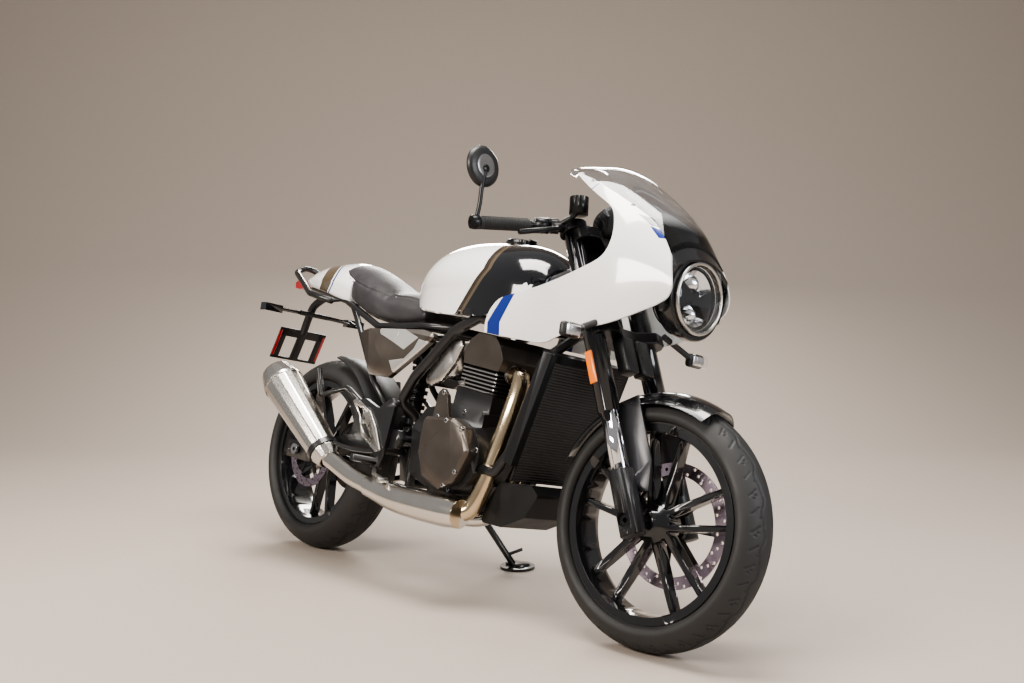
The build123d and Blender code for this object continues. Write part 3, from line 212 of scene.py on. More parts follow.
# %% Finishes: the common recipe
class Finish:
    """A material's node tree, with short ways to add and join nodes."""

    def __init__(self, name):
        self.material = bpy.data.materials.new(name)
        self.material.use_nodes = True
        self.tree = self.material.node_tree
        self.shader = self.tree.nodes["Principled BSDF"]
        self.here = self.add("ShaderNodeTexCoord").outputs["Object"]

    def add(self, kind, **settings):
        node = self.tree.nodes.new(kind)
        for key, value in settings.items():
            setattr(node, key, value)
        return node

    def link(self, source, target):
        if isinstance(source, bpy.types.NodeSocket):
            self.tree.links.new(source, target)
        else:
            target.default_value = source
        return target

    def noise(self, scale, detail=3.0, where=None):
        node = self.add("ShaderNodeTexNoise")
        self.link(where or self.here, node.inputs["Vector"])
        node.inputs["Scale"].default_value = scale
        node.inputs["Detail"].default_value = detail
        return node.outputs["Fac"]

    def spread(self, fac, low, high, start=0.3, end=0.7):
        """A factor stretched from one range to another, clamped."""
        node = self.add("ShaderNodeMapRange")
        self.link(fac, node.inputs["Value"])
        for key, value in (("From Min", start), ("From Max", end), ("To Min", low), ("To Max", high)):
            node.inputs[key].default_value = value
        return node.outputs["Result"]

    def mix(self, fac, first, second):
        node = self.add("ShaderNodeMix", data_type="RGBA")
        self.link(fac, node.inputs["Factor"])
        self.link(first, node.inputs["A"])
        self.link(second, node.inputs["B"])
        return node.outputs["Result"]

    def math(self, operation, first, second=0.0, third=0.0):
        node = self.add("ShaderNodeMath", operation=operation)
        for value, socket in zip((first, second, third), node.inputs):
            self.link(value, socket)
        return node.outputs["Value"]

    def less(self, value, taken):
        return self.math("SUBTRACT", value, taken)

    def times(self, first, *others):
        for other in others:
            first = self.math("MULTIPLY", first, other)
        return first

    def vector(self, operation, output, *values, scale=None):
        node = self.add("ShaderNodeVectorMath", operation=operation)
        for value, socket in zip(values, node.inputs):
            self.link(value, socket)
        if scale is not None:
            self.link(scale, node.inputs["Scale"])
        return node.outputs[output]

    def soft_edge(self, radius):
        """Normals rounded near hard edges, as if each edge had this radius in metres."""
        node = self.add("ShaderNodeBevel", samples=4)
        node.inputs["Radius"].default_value = radius
        return node.outputs["Normal"]

    def near_edge(self, rounded):
        """A factor that is high only where the rounded normal leaves the true one."""
        true_normal = self.add("ShaderNodeNewGeometry").outputs["True Normal"]
        agreement = self.vector("DOT_PRODUCT", "Value", rounded, true_normal)
        return self.spread(agreement, 1.0, 0.0, 0.8, 0.97)

    def bump(self, height, strength, distance, normal=None):
        node = self.add("ShaderNodeBump")
        self.link(height, node.inputs["Height"])
        node.inputs["Strength"].default_value = strength
        node.inputs["Distance"].default_value = distance
        if normal is not None:
            self.link(normal, node.inputs["Normal"])
        self.link(node.outputs["Normal"], self.shader.inputs["Normal"])
        return node.outputs["Normal"]

    def upright(self, steered=False):
        """Object coordinates turned into the upright machine's millimetres, as x, y and z."""
        back = (steered_to_frame if steered else upright_to_frame).inverted()
        node = self.add("ShaderNodeMapping", vector_type="POINT")
        self.link(self.here, node.inputs["Vector"])
        node.inputs["Location"].default_value = back.to_translation()
        node.inputs["Rotation"].default_value = back.to_euler()
        node.inputs["Scale"].default_value = back.to_scale()
        parts = self.add("ShaderNodeSeparateXYZ")
        self.link(node.outputs["Vector"], parts.inputs["Vector"])
        return parts.outputs["X"], parts.outputs["Y"], parts.outputs["Z"]

    def beyond(self, value, limit, soft=0.5):
        """One where a value is over its limit, with an edge that is soft by so many millimetres."""
        if isinstance(limit, bpy.types.NodeSocket):
            value, limit = self.less(value, limit), 0.0
        return self.spread(value, 0.0, 1.0, limit - soft, limit + soft)

    def under(self, value, limit, soft=0.5):
        """One where a value is below its limit."""
        return self.less(1.0, self.beyond(value, limit, soft))

    def within(self, x, z, corners):
        """One inside a convex outline of (x, z) corners given anticlockwise."""
        mask = None
        for (ax, az), (bx, bz) in zip(corners, corners[1:] + corners[:1]):
            length = hypot(bx - ax, bz - az)
            nx, nz = -(bz - az) / length, (bx - ax) / length
            inside = self.math("ADD", self.times(x, nx), self.times(z, nz))
            inside = self.beyond(inside, nx * ax + nz * az, 0.4)
            mask = inside if mask is None else self.times(mask, inside)
        return mask

    def any_of(self, x, z, patches):
        """One inside any of several convex outlines, whichever way round their corners are given."""
        mask = None
        for patch in patches:
            turn = sum((bx - ax) * (bz + az) for (ax, az), (bx, bz) in zip(patch, patch[1:] + patch[:1]))
            inside = self.within(x, z, list(patch) if turn < 0 else list(reversed(patch)))
            mask = inside if mask is None else self.math("MAXIMUM", mask, inside)
        return mask

    def set(self, **values):
        for key, value in values.items():
            self.link(value, self.shader.inputs[key.replace("_", " ")])
        return self


def rgb(red, green, blue):
    return (red, green, blue, 1.0)


def shaded(colour, factor):
    return tuple(min(1.0, channel * factor) for channel in colour[:3]) + (1.0,)


def surface(name, colour, roughness, metallic=0.0, drift=0.12, cloud=18.0, grain=900.0, grain_height=0.00003,
            coat=0.0, edge=0.0008, wear=0.0, worn=None):
    """The common recipe: drifting colour, uneven sheen, a fine grain and edges that catch the light."""
    finish = Finish(name)
    cloudy = finish.noise(cloud)
    fine = finish.noise(grain, 2.0)
    paint = finish.mix(cloudy, shaded(colour, 1 - drift), shaded(colour, 1 + drift))
    rounded = finish.soft_edge(edge) if edge else None
    if wear:
        rubbed = finish.times(finish.near_edge(rounded), finish.spread(finish.noise(60.0), 0.2, wear))
        paint = finish.mix(rubbed, paint, worn or shaded(colour, 3.0))
    finish.set(Base_Color=paint, Roughness=finish.spread(cloudy, roughness * 0.86, roughness * 1.14),
               Metallic=metallic)
    finish.bump(fine, 0.35, grain_height, rounded)
    if coat:
        finish.set(Coat_Weight=coat, Coat_Roughness=0.06)
    return finish


# %% [markdown]
# The black parts differ in gloss more than in colour: wheels and fork are glossy, the frame is satin,
# engine castings are rougher and grainy, and moulded plastic has a fine pebble. The bronze parts are a
# warm grey powder coat with a metal's sheen.

# %% Finishes of the hard parts
tyre_rubber = surface("tyre_rubber", rgb(0.020, 0.0195, 0.0195), 0.62, grain=1400, grain_height=0.00012,
                      edge=0.0004)
wheel_black = surface("wheel_gloss_black", rgb(0.008, 0.008, 0.009), 0.2, coat=0.8, grain=700, edge=0.0015)
frame_black = surface("frame_satin_black", rgb(0.011, 0.011, 0.012), 0.32, coat=0.3, edge=0.001)
fork_black = surface("fork_gloss_black", rgb(0.008, 0.008, 0.010), 0.14, metallic=0.3, coat=0.7)
leg_black = surface("fork_leg_cast_black", rgb(0.016, 0.016, 0.018), 0.38, metallic=0.2, grain=1500,
                    grain_height=0.0001, edge=0.002)
cast_black = surface("engine_cast_black", rgb(0.016, 0.016, 0.017), 0.4, metallic=0.3, grain=1600,
                     grain_height=0.00018, edge=0.0012, wear=0.25, worn=rgb(0.12, 0.12, 0.12))
bronze_coat = surface("bronze_powder_coat", rgb(0.115, 0.100, 0.088), 0.36, metallic=0.8, grain=2600,
                      grain_height=0.00008, edge=0.0016)
cast_silver = surface("satin_silver_casting", rgb(0.56, 0.54, 0.51), 0.28, metallic=1.0, grain=1500,
                      grain_height=0.00008, edge=0.0015)
bright_chrome = surface("hard_chrome", rgb(0.78, 0.78, 0.8), 0.07, metallic=1.0, drift=0.03, grain=300)
bolt_steel = surface("zinc_bolt_steel", rgb(0.55, 0.55, 0.56), 0.25, metallic=1.0, grain=900, edge=0.0005)
plastic_black = surface("moulded_black_plastic", rgb(0.014, 0.014, 0.015), 0.42, grain=2200,
                        grain_height=0.00014, edge=0.0012)
gloss_black = surface("gloss_black_plastic", rgb(0.006, 0.006, 0.008), 0.1, coat=0.8, drift=0.05, grain=400)
bar_black = surface("anodised_black", rgb(0.012, 0.012, 0.013), 0.3, metallic=0.5, grain=1800, edge=0.0012)
soft_rubber = surface("grip_rubber", rgb(0.016, 0.016, 0.016), 0.66, grain=1900, grain_height=0.00015)
chain_steel = surface("oiled_chain_steel", rgb(0.16, 0.14, 0.12), 0.36, metallic=1.0, drift=0.3, edge=0.0004)
red_lens = surface("red_lens", rgb(0.42, 0.008, 0.010), 0.12, coat=1.0, drift=0.05)
amber_lens = surface("amber_reflector", rgb(0.82, 0.20, 0.015), 0.16, coat=1.0, grain=600,
                     grain_height=0.0003)
lamp_silver = surface("lamp_reflector_silver", rgb(0.93, 0.93, 0.94), 0.22, metallic=1.0, drift=0.03, edge=0)
pale_grey = surface("mirror_back_grey", rgb(0.26, 0.25, 0.25), 0.3, metallic=0.8, grain=1500)
lining_black = surface("headlight_surround_black", rgb(0.010, 0.010, 0.011), 0.26, coat=0.5, grain=700,
                       edge=0.002)
dash_black = surface("instrument_housing", rgb(0.011, 0.011, 0.012), 0.48, grain=1500, edge=0.0015)

# %% [markdown]
# Some parts join two finishes in one casting. The mudguard is gloss black with satin grey blades beside
# the fork. A brake disc's swept band is ground steel with a faint violet tint, and its carrier is black.

# %% Parts with two finishes
BLADE_HALF, BLADE_TOP = 62.0, 560.0
SWEPT_BAND = (rgb(0.40, 0.33, 0.39), 0.24, 1.0, 0.0)
CARRIER = (rgb(0.014, 0.014, 0.015), 0.35, 0.4, 0.0)
BLADE_GREY = (rgb(0.055, 0.055, 0.06), 0.33, 0.4, 0.0)
BLACK_GLOSS = (rgb(0.006, 0.006, 0.007), 0.16, 0.0, 0.8)


def two_finishes(name, mask_of, inner, outer):
    """A finish that is the inner one where the mask is high; each is colour, roughness, metallic and coat."""
    finish = Finish(name)
    mask = mask_of(finish)
    cloud = finish.noise(20.0)
    colours = [finish.mix(cloud, shaded(part[0], 0.9), shaded(part[0], 1.1)) for part in (outer, inner)]
    values = [finish.spread(mask, outer[i], inner[i], 0.0, 1.0) for i in (1, 2, 3)]
    finish.set(Base_Color=finish.mix(mask, *colours), Roughness=values[0], Metallic=values[1],
               Coat_Weight=values[2])
    finish.bump(finish.noise(1300.0, 2.0), 0.2, 0.00004, finish.soft_edge(0.0012))
    return finish


def disc_finish(name, steered, band_start):
    """A brake disc's finish: ground steel from a radius outwards, and the black carrier inside it."""
    def mask_of(finish):
        x, _, z = finish.upright(steered)
        axle = FRONT_AXLE if steered else REAR_AXLE
        ahead = finish.math("POWER", finish.math("ABSOLUTE", finish.less(x, axle.x)), 2.0)
        rise = finish.less(z, axle.z)
        return finish.beyond(finish.math("SQRT", finish.math("MULTIPLY_ADD", rise, rise, ahead)), band_start)
    return two_finishes(name, mask_of, SWEPT_BAND, CARRIER)


def blade_mask(finish):
    """High at the sides of the front mudguard, below the height where its blades end."""
    _, y, z = finish.upright(True)
    side = finish.beyond(finish.math("ABSOLUTE", y), BLADE_HALF, 0.6)
    return finish.times(side, finish.under(z, BLADE_TOP, 12.0))


mudguard_finish = two_finishes("gloss_mudguard_grey_blades", blade_mask, BLADE_GREY, BLACK_GLOSS)
front_disc_finish = disc_finish("front_disc_steel", True, 112.0)
rear_disc_finish = disc_finish("rear_disc_steel", False, 82.0)

# %% [markdown]
# The header pipes have the straw colour of heated steel, and the shield over the collector below them
# stays bright. A line across the pipes parts the two.

# %% Heated steel
SHIELD_FRONT, SHIELD_TOP = 848.0, 330.0
header_steel = Finish("heat_tinted_header")
x, y, z = header_steel.upright()
clouds = header_steel.noise(11.0)
straw = header_steel.mix(clouds, rgb(0.60, 0.46, 0.29), rgb(0.74, 0.62, 0.46))
bright = header_steel.mix(clouds, rgb(0.66, 0.62, 0.57), rgb(0.76, 0.73, 0.69))
in_shield = header_steel.times(header_steel.beyond(header_steel.less(SHIELD_FRONT, x), 0.0),
                               header_steel.beyond(header_steel.less(SHIELD_TOP, z), 0.0))
header_steel.set(Base_Color=header_steel.mix(in_shield, straw, bright), Metallic=1.0,
                 Roughness=header_steel.spread(clouds, 0.13, 0.2))
header_steel.bump(header_steel.noise(500.0, 2.0), 0.1, 0.00003, header_steel.soft_edge(0.0015))

# %% [markdown]
# Side panels and the trim above them are bronze with a silver zigzag band, which is laid on as patches.
# Each patch is an outline in upright x and z.

# %% Side panels
ZIGZAG = (
    ((359, 706), (363, 691), (436, 666), (461, 712)), ((461, 712), (436, 666), (488, 647), (548, 684)),
    ((552, 680), (534, 651), (554, 610), (629, 667)), ((534, 651), (495, 621), (468, 556), (554, 610)),
    ((495, 621), (426, 612), (468, 556)),
)
CREAM_INSET = ((555, 739), (583, 753), (675, 734), (659, 718))
LIGHT_STRIP = ((411, 717), (449, 704), (649, 683), (651, 699), (546, 716))
panel_bronze = Finish("bronze_panel_with_silver")
x, y, z = panel_bronze.upright()
silver = panel_bronze.any_of(x, z, ZIGZAG)
strip = panel_bronze.any_of(x, z, (LIGHT_STRIP,))
inset = panel_bronze.any_of(x, z, (CREAM_INSET,))
clouds = panel_bronze.noise(16.0)
paint = panel_bronze.mix(clouds, rgb(0.10, 0.085, 0.072), rgb(0.13, 0.11, 0.095))
for mask, colour in ((strip, rgb(0.25, 0.23, 0.21)), (silver, rgb(0.62, 0.60, 0.58)),
                     (inset, rgb(0.50, 0.40, 0.24))):
    paint = panel_bronze.mix(mask, paint, colour)
panel_bronze.set(Base_Color=paint, Metallic=0.75, Roughness=panel_bronze.spread(clouds, 0.26, 0.36),
                 Coat_Weight=0.4, Coat_Roughness=0.08)
panel_bronze.bump(panel_bronze.math("MAXIMUM", silver, inset), 0.6, 0.0012, panel_bronze.soft_edge(0.0018))

# %% [markdown]
# The muffler is stainless steel, brushed along its length. A place on it is squeezed almost flat along the
# muffler's axis before it reaches the noise, so the noise is drawn out into brush lines.

# %% Brushed steel of the muffler
MUFFLER_LOW = Vector((268, -186, 300))
MUFFLER_HIGH = Vector((-42, -226, 540))
SQUEEZE = 0.97
muffler_axis = (MUFFLER_HIGH - MUFFLER_LOW).normalized()
brushed = Finish("brushed_stainless")
at_place = brushed.add("ShaderNodeCombineXYZ")
for socket, value in zip(at_place.inputs, brushed.upright()):
    brushed.link(value, socket)
at_place = at_place.outputs["Vector"]
reach_along = brushed.vector("DOT_PRODUCT", "Value", at_place, muffler_axis)
lengthwise = brushed.vector("SCALE", "Vector", muffler_axis, scale=reach_along)
squeezed = brushed.vector("MULTIPLY_ADD", "Vector", lengthwise, (-SQUEEZE,) * 3, at_place)
streaks = brushed.noise(1.6, 2.0, squeezed)
brushed.set(Base_Color=brushed.mix(brushed.noise(12.0), rgb(0.60, 0.575, 0.54), rgb(0.70, 0.67, 0.63)),
            Metallic=1.0, Roughness=brushed.spread(streaks, 0.16, 0.30))
brushed.bump(streaks, 0.25, 0.00004, brushed.soft_edge(0.0012))

# %% [markdown]
# White paint carries all the trim colours. Each stripe is laid on in upright places, by comparing a
# point's place with a sloping line, so it runs on over the edges of the panel as masking tape would leave
# it.

# %% Painted bodywork
PAINT_WHITE = rgb(0.84, 0.835, 0.82)
PAINT_BLACK = rgb(0.005, 0.005, 0.007)
PAINT_BLUE = rgb(0.004, 0.022, 0.20)
PAINT_BRONZE = rgb(0.085, 0.064, 0.040)
PAINT_DARK_BRONZE = rgb(0.030, 0.020, 0.012)
BLUE_FLASH = ((1358, 951), (1371, 951), (1360, 972), (1327, 981))
BLACK_FLASH = ((1329, 983), (1357, 975), (1341, 997), (1286, 1013))
STRIPE_FOOT = 735.0


def lacquer(finish, colour, roughness=0.16):
    """The colour under a hard clear coat with the faintest orange peel."""
    finish.set(Base_Color=colour, Roughness=roughness, Coat_Weight=1.0, Coat_Roughness=0.03)
    finish.bump(finish.noise(220.0, 1.0), 0.06, 0.00002, finish.soft_edge(0.0018))


fairing_paint = Finish("fairing_white_and_blue")
x, y, z = fairing_paint.upright()
climb = fairing_paint.math("MAXIMUM", fairing_paint.less(z, STRIPE_FOOT), 0.0)
stripe_rear = fairing_paint.math("MULTIPLY_ADD", climb, 0.80, 839.0)
stripe_front = fairing_paint.math("MULTIPLY_ADD", climb, 0.67, 889.0)
blue = fairing_paint.times(fairing_paint.beyond(x, stripe_rear), fairing_paint.under(x, stripe_front))
blue = fairing_paint.math("MAXIMUM", blue, fairing_paint.any_of(x, z, (BLUE_FLASH,)))
paint = fairing_paint.mix(blue, PAINT_WHITE, PAINT_BLUE)
black = fairing_paint.any_of(x, z, (BLACK_FLASH,))
lacquer(fairing_paint, fairing_paint.mix(black, paint, rgb(0.02, 0.026, 0.03)))

# %% [markdown]
# On the tank a slanting line ends the white, and two bronze bands lead over to the black. On the cowl a
# broad bronze band and a thin blue one follow a line that first leans forward, then curves back over the
# top.

# %% Tank and cowl paint
TANK_BREAK, TANK_LINE, TANK_SLOPE = 882.0, 778.0, -0.70
TANK_BANDS = ((0.0, PAINT_DARK_BRONZE), (17.0, PAINT_BRONZE), (30.0, PAINT_BLACK))
tank_paint = Finish("tank_white_black_bronze")
x, y, z = tank_paint.upright()
drop = tank_paint.math("MAXIMUM", tank_paint.less(TANK_BREAK, z), 0.0)
white_line = tank_paint.math("MULTIPLY_ADD", drop, TANK_SLOPE, TANK_LINE)
paint = PAINT_WHITE
for offset, colour in TANK_BANDS:
    paint = tank_paint.mix(tank_paint.beyond(x, tank_paint.math("ADD", white_line, offset)), paint, colour)
lacquer(tank_paint, paint, 0.12)

COWL_FOOT, COWL_LEAN, COWL_CURVE = 830.0, 0.79, 0.01065
COWL_BANDS = ((-80.0, -10.0, PAINT_BRONZE), (-1.0, 8.0, PAINT_BLUE))
cowl_paint = Finish("cowl_white_and_stripes")
x, y, z = cowl_paint.upright()
lift = cowl_paint.less(z, COWL_FOOT)
leant = cowl_paint.less(x, cowl_paint.times(lift, COWL_LEAN))
along = cowl_paint.math("ADD", leant, cowl_paint.times(lift, lift, COWL_CURVE))
paint = PAINT_WHITE
for start, end, colour in COWL_BANDS:
    band = cowl_paint.times(cowl_paint.beyond(along, start), cowl_paint.under(along, end))
    paint = cowl_paint.mix(band, paint, colour)
lacquer(cowl_paint, paint)

# %% [markdown]
# The screen is clear moulded plastic with a faint smoke tint, which is deep low down over its mounting. A
# lens is the same stuff without the smoke. Both let light through, so that what is behind them shows. The
# seat's vinyl is a pebbled black whose sheen drifts.

# %% Clear plastics and vinyl
SMOKE_START, SMOKE_TOP = 1322.0, 1000.0
screen_clear = Finish("smoked_screen")
x, y, z = screen_clear.upright()
smoke = screen_clear.times(screen_clear.beyond(x, SMOKE_START, 6.0), screen_clear.under(z, SMOKE_TOP, 14.0))
screen_clear.set(Base_Color=screen_clear.mix(smoke, rgb(0.80, 0.82, 0.86), rgb(0.06, 0.065, 0.075)),
                 Roughness=0.02, Transmission_Weight=1.0, IOR=1.1, Coat_Weight=0.8, Coat_Roughness=0.02)

lens_clear = Finish("clear_lens")
lens_clear.set(Base_Color=rgb(0.95, 0.96, 0.98), Roughness=0.02, Transmission_Weight=1.0, IOR=1.02,
               Coat_Weight=1.0, Coat_Roughness=0.02)
lens_clear.bump(lens_clear.noise(30.0, 1.0), 0.03, 0.0001)

seat_vinyl = Finish("seat_vinyl")
sheen = seat_vinyl.noise(14.0)
seat_vinyl.set(Base_Color=seat_vinyl.mix(sheen, rgb(0.026, 0.025, 0.027), rgb(0.040, 0.038, 0.040)),
               Roughness=seat_vinyl.spread(sheen, 0.40, 0.5))
seat_vinyl.bump(seat_vinyl.noise(950.0, 4.0), 0.35, 0.00016)

# %% [markdown]
# Only the rims of the cooling fins are machined bright; the rest of the cylinder is black. The finish
# compares a point's place with the fins' outer edge. The radiator's core has fine fins between its tubes,
# made with two waves, one along Z and one along Y. The waves raise the fins as bump, and they also paint
# the core's colour lighter on each crest and darker between: a painted highlight and painted shade.

# %% Cylinder and radiator
FIN_EDGE, FIN_FOOT = 101.0, 550.0
fin_finish = Finish("black_fins_bright_rims")
x, y, z = fin_finish.upright()
rim = fin_finish.times(fin_finish.beyond(fin_finish.math("ABSOLUTE", y), FIN_EDGE, 0.6),
                       fin_finish.beyond(z, FIN_FOOT, 1.0))
fin_finish.set(Base_Color=fin_finish.mix(rim, rgb(0.015, 0.015, 0.016), rgb(0.62, 0.60, 0.58)),
               Metallic=fin_finish.spread(rim, 0.25, 1.0, 0.0, 1.0),
               Roughness=fin_finish.spread(rim, 0.42, 0.22, 0.0, 1.0))
fin_finish.bump(fin_finish.noise(1500.0, 2.0), 0.3, 0.0001, fin_finish.soft_edge(0.0008))

CORE_HALF, CORE_TOP = 128.0, 640.0
core_finish = Finish("radiator_core")
x, y, z = core_finish.upright()
rows = core_finish.math("SINE", core_finish.times(z, 0.9))
slats = core_finish.math("SINE", core_finish.times(y, 2.6))
waves = core_finish.math("ADD", rows, core_finish.times(slats, 0.5))
in_core = core_finish.times(core_finish.under(core_finish.math("ABSOLUTE", y), CORE_HALF),
                            core_finish.under(z, CORE_TOP, 1.0))
# Painted highlight on the crests of the fin waves and painted shade between them, laid into the core's
# colour.
painted_fin_highlight = core_finish.times(in_core, core_finish.spread(waves, 0, 1, -0.6, 0.9))
core_finish.set(Base_Color=core_finish.mix(painted_fin_highlight, rgb(0.009, 0.009, 0.010), rgb(0.045, 0.045, 0.047)),
                Roughness=0.42, Metallic=0.3)
core_finish.bump(core_finish.times(waves, in_core), 0.8, 0.0012, core_finish.soft_edge(0.001))

# %% [markdown]
# An operator works on what is active and selected, so a few helpers see to that. One adds a modifier and
# applies it, one gives a piece its smooth shading and finish, and one lets a piece stand for a CAD node:
# it rides with the node's body and takes its place in the picture.


# %% Helpers for pieces
def base_of(steered):
    """The matrix from upright places to the frame, for the front end or for the rest."""
    return steered_to_frame if steered else upright_to_frame


def make_active(piece):
    deselect_all()
    piece.select_set(True)
    bpy.context.view_layer.objects.active = piece


def named(name):
    """Names the active object, and gives it back."""
    piece = bpy.context.object
    piece.name = name
    piece.data.name = name
    return piece


def edit_all():
    """Opens the active object's mesh with all of it selected."""
    bpy.ops.object.mode_set(mode="EDIT")
    bpy.ops.mesh.select_all(action="SELECT")


def modified(piece, kind, **settings):
    """Adds one modifier and applies it at once."""
    make_active(piece)
    change = piece.modifiers.new(kind.lower(), kind)
    for key, value in settings.items():
        setattr(change, key, value)
    bpy.ops.object.modifier_apply(modifier=change.name)


def finished(piece, finish, angle):
    """Shades faces smooth up to an angle and gives the piece its only finish."""
    make_active(piece)
    bpy.ops.object.shade_smooth_by_angle(angle=radians(angle))
    piece.data.materials.clear()
    piece.data.materials.append(finish.material)
    return piece


def rides(body, *pieces):
    for piece in pieces:
        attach(piece, body)


def stands_for(piece, name):
    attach(piece, body_of[name])
    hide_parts(name)
    return piece


def linked(name, data):
    """A new object for a mesh, in the scene."""
    piece = bpy.data.objects.new(name, data)
    scene.collection.objects.link(piece)
    return piece


# %% [markdown]
# A CAD part arrives as loose triangles, so a plain smooth shade would not work on it. A copy with its
# corners joined takes smooth shading up to a set angle: curved faces become even and true edges stay
# crisp. One table gives each CAD part its finish and that angle.

# %% Dress the CAD parts
DRESS = (
    ("front_rim", wheel_black, 35), ("rear_rim", wheel_black, 35), ("front_disc", front_disc_finish, 30),
    ("rear_disc", rear_disc_finish, 30), ("rear_sprocket", chain_steel, 30),
    ("fork_tubes", fork_black, 40), ("fork_stanchions", bright_chrome, 40), ("fork_legs", leg_black, 35),
    ("front_axle", bar_black, 30), ("front_mudguard", mudguard_finish, 30), ("handlebars", bar_black, 35),
    ("hand_levers", bar_black, 40), ("instrument", dash_black, 40), ("front_caliper", bar_black, 30),
    ("fuel_cap", bar_black, 30), ("side_stand", frame_black, 30), ("main_frame", frame_black, 35),
    ("rear_subframe", frame_black, 35), ("swingarm", frame_black, 35), ("rear_axle", bolt_steel, 30),
    ("shock_absorber", bar_black, 35), ("rear_caliper", bar_black, 30), ("crankcase", cast_black, 25),
    ("clutch_cover", bronze_coat, 14), ("left_engine_cover", bronze_coat, 20),
    ("cylinder", fin_finish, 30), ("cylinder_head", bronze_coat, 25), ("intake_cover", cast_silver, 30),
    ("belly_guard", cast_black, 25), ("radiator", core_finish, 30), ("fuel_tank", tank_paint, 40),
    ("grab_rail", frame_black, 40), ("tail_light", red_lens, 35), ("rear_indicators", gloss_black, 35),
    ("side_panels", panel_bronze, 22), ("footrest_hangers", frame_black, 30),
    ("foot_controls", cast_silver, 35), ("drive_chain", chain_steel, 30),
    ("rear_mudguard", plastic_black, 30),
)


def smooth_copy(name, finish, angle):
    """A joined and smooth-shaded copy of a CAD part, with its own finish."""
    piece = linked(f"{name}_skin", nodes[name].data.copy())
    make_active(piece)
    edit_all()
    bpy.ops.mesh.remove_doubles(threshold=0.00002)
    bpy.ops.mesh.normals_make_consistent(inside=False)
    bpy.ops.object.mode_set(mode="OBJECT")
    return stands_for(finished(piece, finish, angle), name)


skins = {name: smooth_copy(name, finish, angle) for name, finish, angle in DRESS}
print("skins:", len(skins), "triangles:", sum(len(piece.data.polygons) for piece in skins.values()))

# %% [markdown]
# Round things, such as a tyre, a lamp's bowl or a grip, are turned: a ring of vertices is extruded along
# the axis and resized, step by step through a profile, as a lathe tool would follow it. They are made in
# the upright machine's millimetres, lying along Z, then carried to their place and axis. Blocks are made
# the same way.


# %% Turned pieces and blocks
AHEAD, UP, RIGHT = (1, 0, 0), (0, 0, 1), (0, -1, 0)


def aim_along(along):
    """A turn of Z onto a direction; X stays as far forward as it can, or Y upward for a forward direction."""
    z_way = Vector(along).normalized()
    if abs(z_way.x) > 0.9:
        return z_way.to_track_quat("Z", "Y").to_matrix().to_4x4()
    x_way = (Vector(AHEAD) - z_way * z_way.x).normalized()
    return Matrix((x_way, z_way.cross(x_way), z_way)).transposed().to_4x4()


def settle(piece, at, along=UP, steered=False):
    """Moves a piece made round the origin, in millimetres and along Z, to its place on the machine."""
    piece.data.transform(base_of(steered) @ Matrix.Translation(Vector(at)) @ aim_along(along))
    return piece


def lathe(name, profile, finish, segments=64, angle=35, closed=()):
    """A ring extruded and resized through a profile of (distance, radius) points along Z."""
    deselect_all()
    start, radius = profile[0]
    bpy.ops.mesh.primitive_circle_add(vertices=segments, radius=radius, location=(0, 0, 0),
                                      fill_type="NGON" if "first" in closed else "NOTHING")
    piece = named(name)
    edit_all()
    bpy.ops.transform.translate(value=(0, 0, start))
    bpy.ops.mesh.select_mode(type="EDGE")
    for (before, narrow), (after, wide) in zip(profile, profile[1:]):
        bpy.ops.mesh.extrude_edges_move(TRANSFORM_OT_translate={"value": (0, 0, after - before)})
        bpy.ops.transform.resize(value=(wide / narrow, wide / narrow, 1), center_override=(0, 0, after))
    if "last" in closed:
        bpy.ops.mesh.edge_face_add()
    bpy.ops.mesh.select_all(action="SELECT")
    bpy.ops.mesh.remove_doubles(threshold=0.001)
    bpy.ops.mesh.normals_make_consistent(inside=False)
    bpy.ops.object.mode_set(mode="OBJECT")
    return finished(piece, finish, angle)


def turned(name, profile, finish, at, along, steered=False, **how):
    """A lathe piece, carried to its place on the machine."""
    return settle(lathe(name, profile, finish, **how), at, along, steered)


def block(name, size, at, finish, along=UP, steered=False, bevel=2.0):
    """A bevelled box; its sizes are its thickness, its width in Y and its length along one direction."""
    deselect_all()
    bpy.ops.mesh.primitive_cube_add(size=1.0)
    piece = named(name)
    edit_all()
    bpy.ops.transform.resize(value=size)
    bpy.ops.mesh.bevel(offset=bevel, segments=3, affect="EDGES")
    bpy.ops.object.mode_set(mode="OBJECT")
    return settle(finished(piece, finish, 35), at, along, steered)


def arc_points(first, middle, last, count):
    """Points on the arc through three points, without the last one."""
    (ax, ay), (bx, by), (cx, cy) = first, middle, last
    d = 2 * (ax * (by - cy) + bx * (cy - ay) + cx * (ay - by))
    squares = (ax * ax + ay * ay, bx * bx + by * by, cx * cx + cy * cy)
    ux = (squares[0] * (by - cy) + squares[1] * (cy - ay) + squares[2] * (ay - by)) / d
    uy = (squares[0] * (cx - bx) + squares[1] * (ax - cx) + squares[2] * (bx - ax)) / d
    radius = hypot(ax - ux, ay - uy)
    start, via, end = (atan2(y - uy, x - ux) for x, y in (first, middle, last))
    turn = (end - start) % tau
    if (via - start) % tau > turn:
        turn -= tau
    return [(ux + radius * cos(start + turn * i / count), uy + radius * sin(start + turn * i / count))
            for i in range(count)]


# %% [markdown]
# A tyre follows the CAD outline: foot, sidewall and round crown. The tread's grooves are real: the crown
# is dense in vertices, and those that lie in a groove's pattern get weight in a vertex group, which a
# displace modifier pushes inwards. A road tyre has long waved grooves beside the centre line and short
# slanted cuts towards the shoulders, with small pits between them.

# %% Tyres with grooves
BEAD, FLANGE, GROOVE_DEPTH = 218.3, 231.0, 2.6
TYRE_SEGMENTS, TREAD_REPEATS = 900, 22
WAVE_MIDDLE, WAVE_HALF_WIDTH = 17.0, 2.6
CUT_BAND = (27.0, 44.0)
PITS = ((0.70, 31.0), (0.78, 36.0), (0.30, 25.0))
PIT_SPACING = 90.0


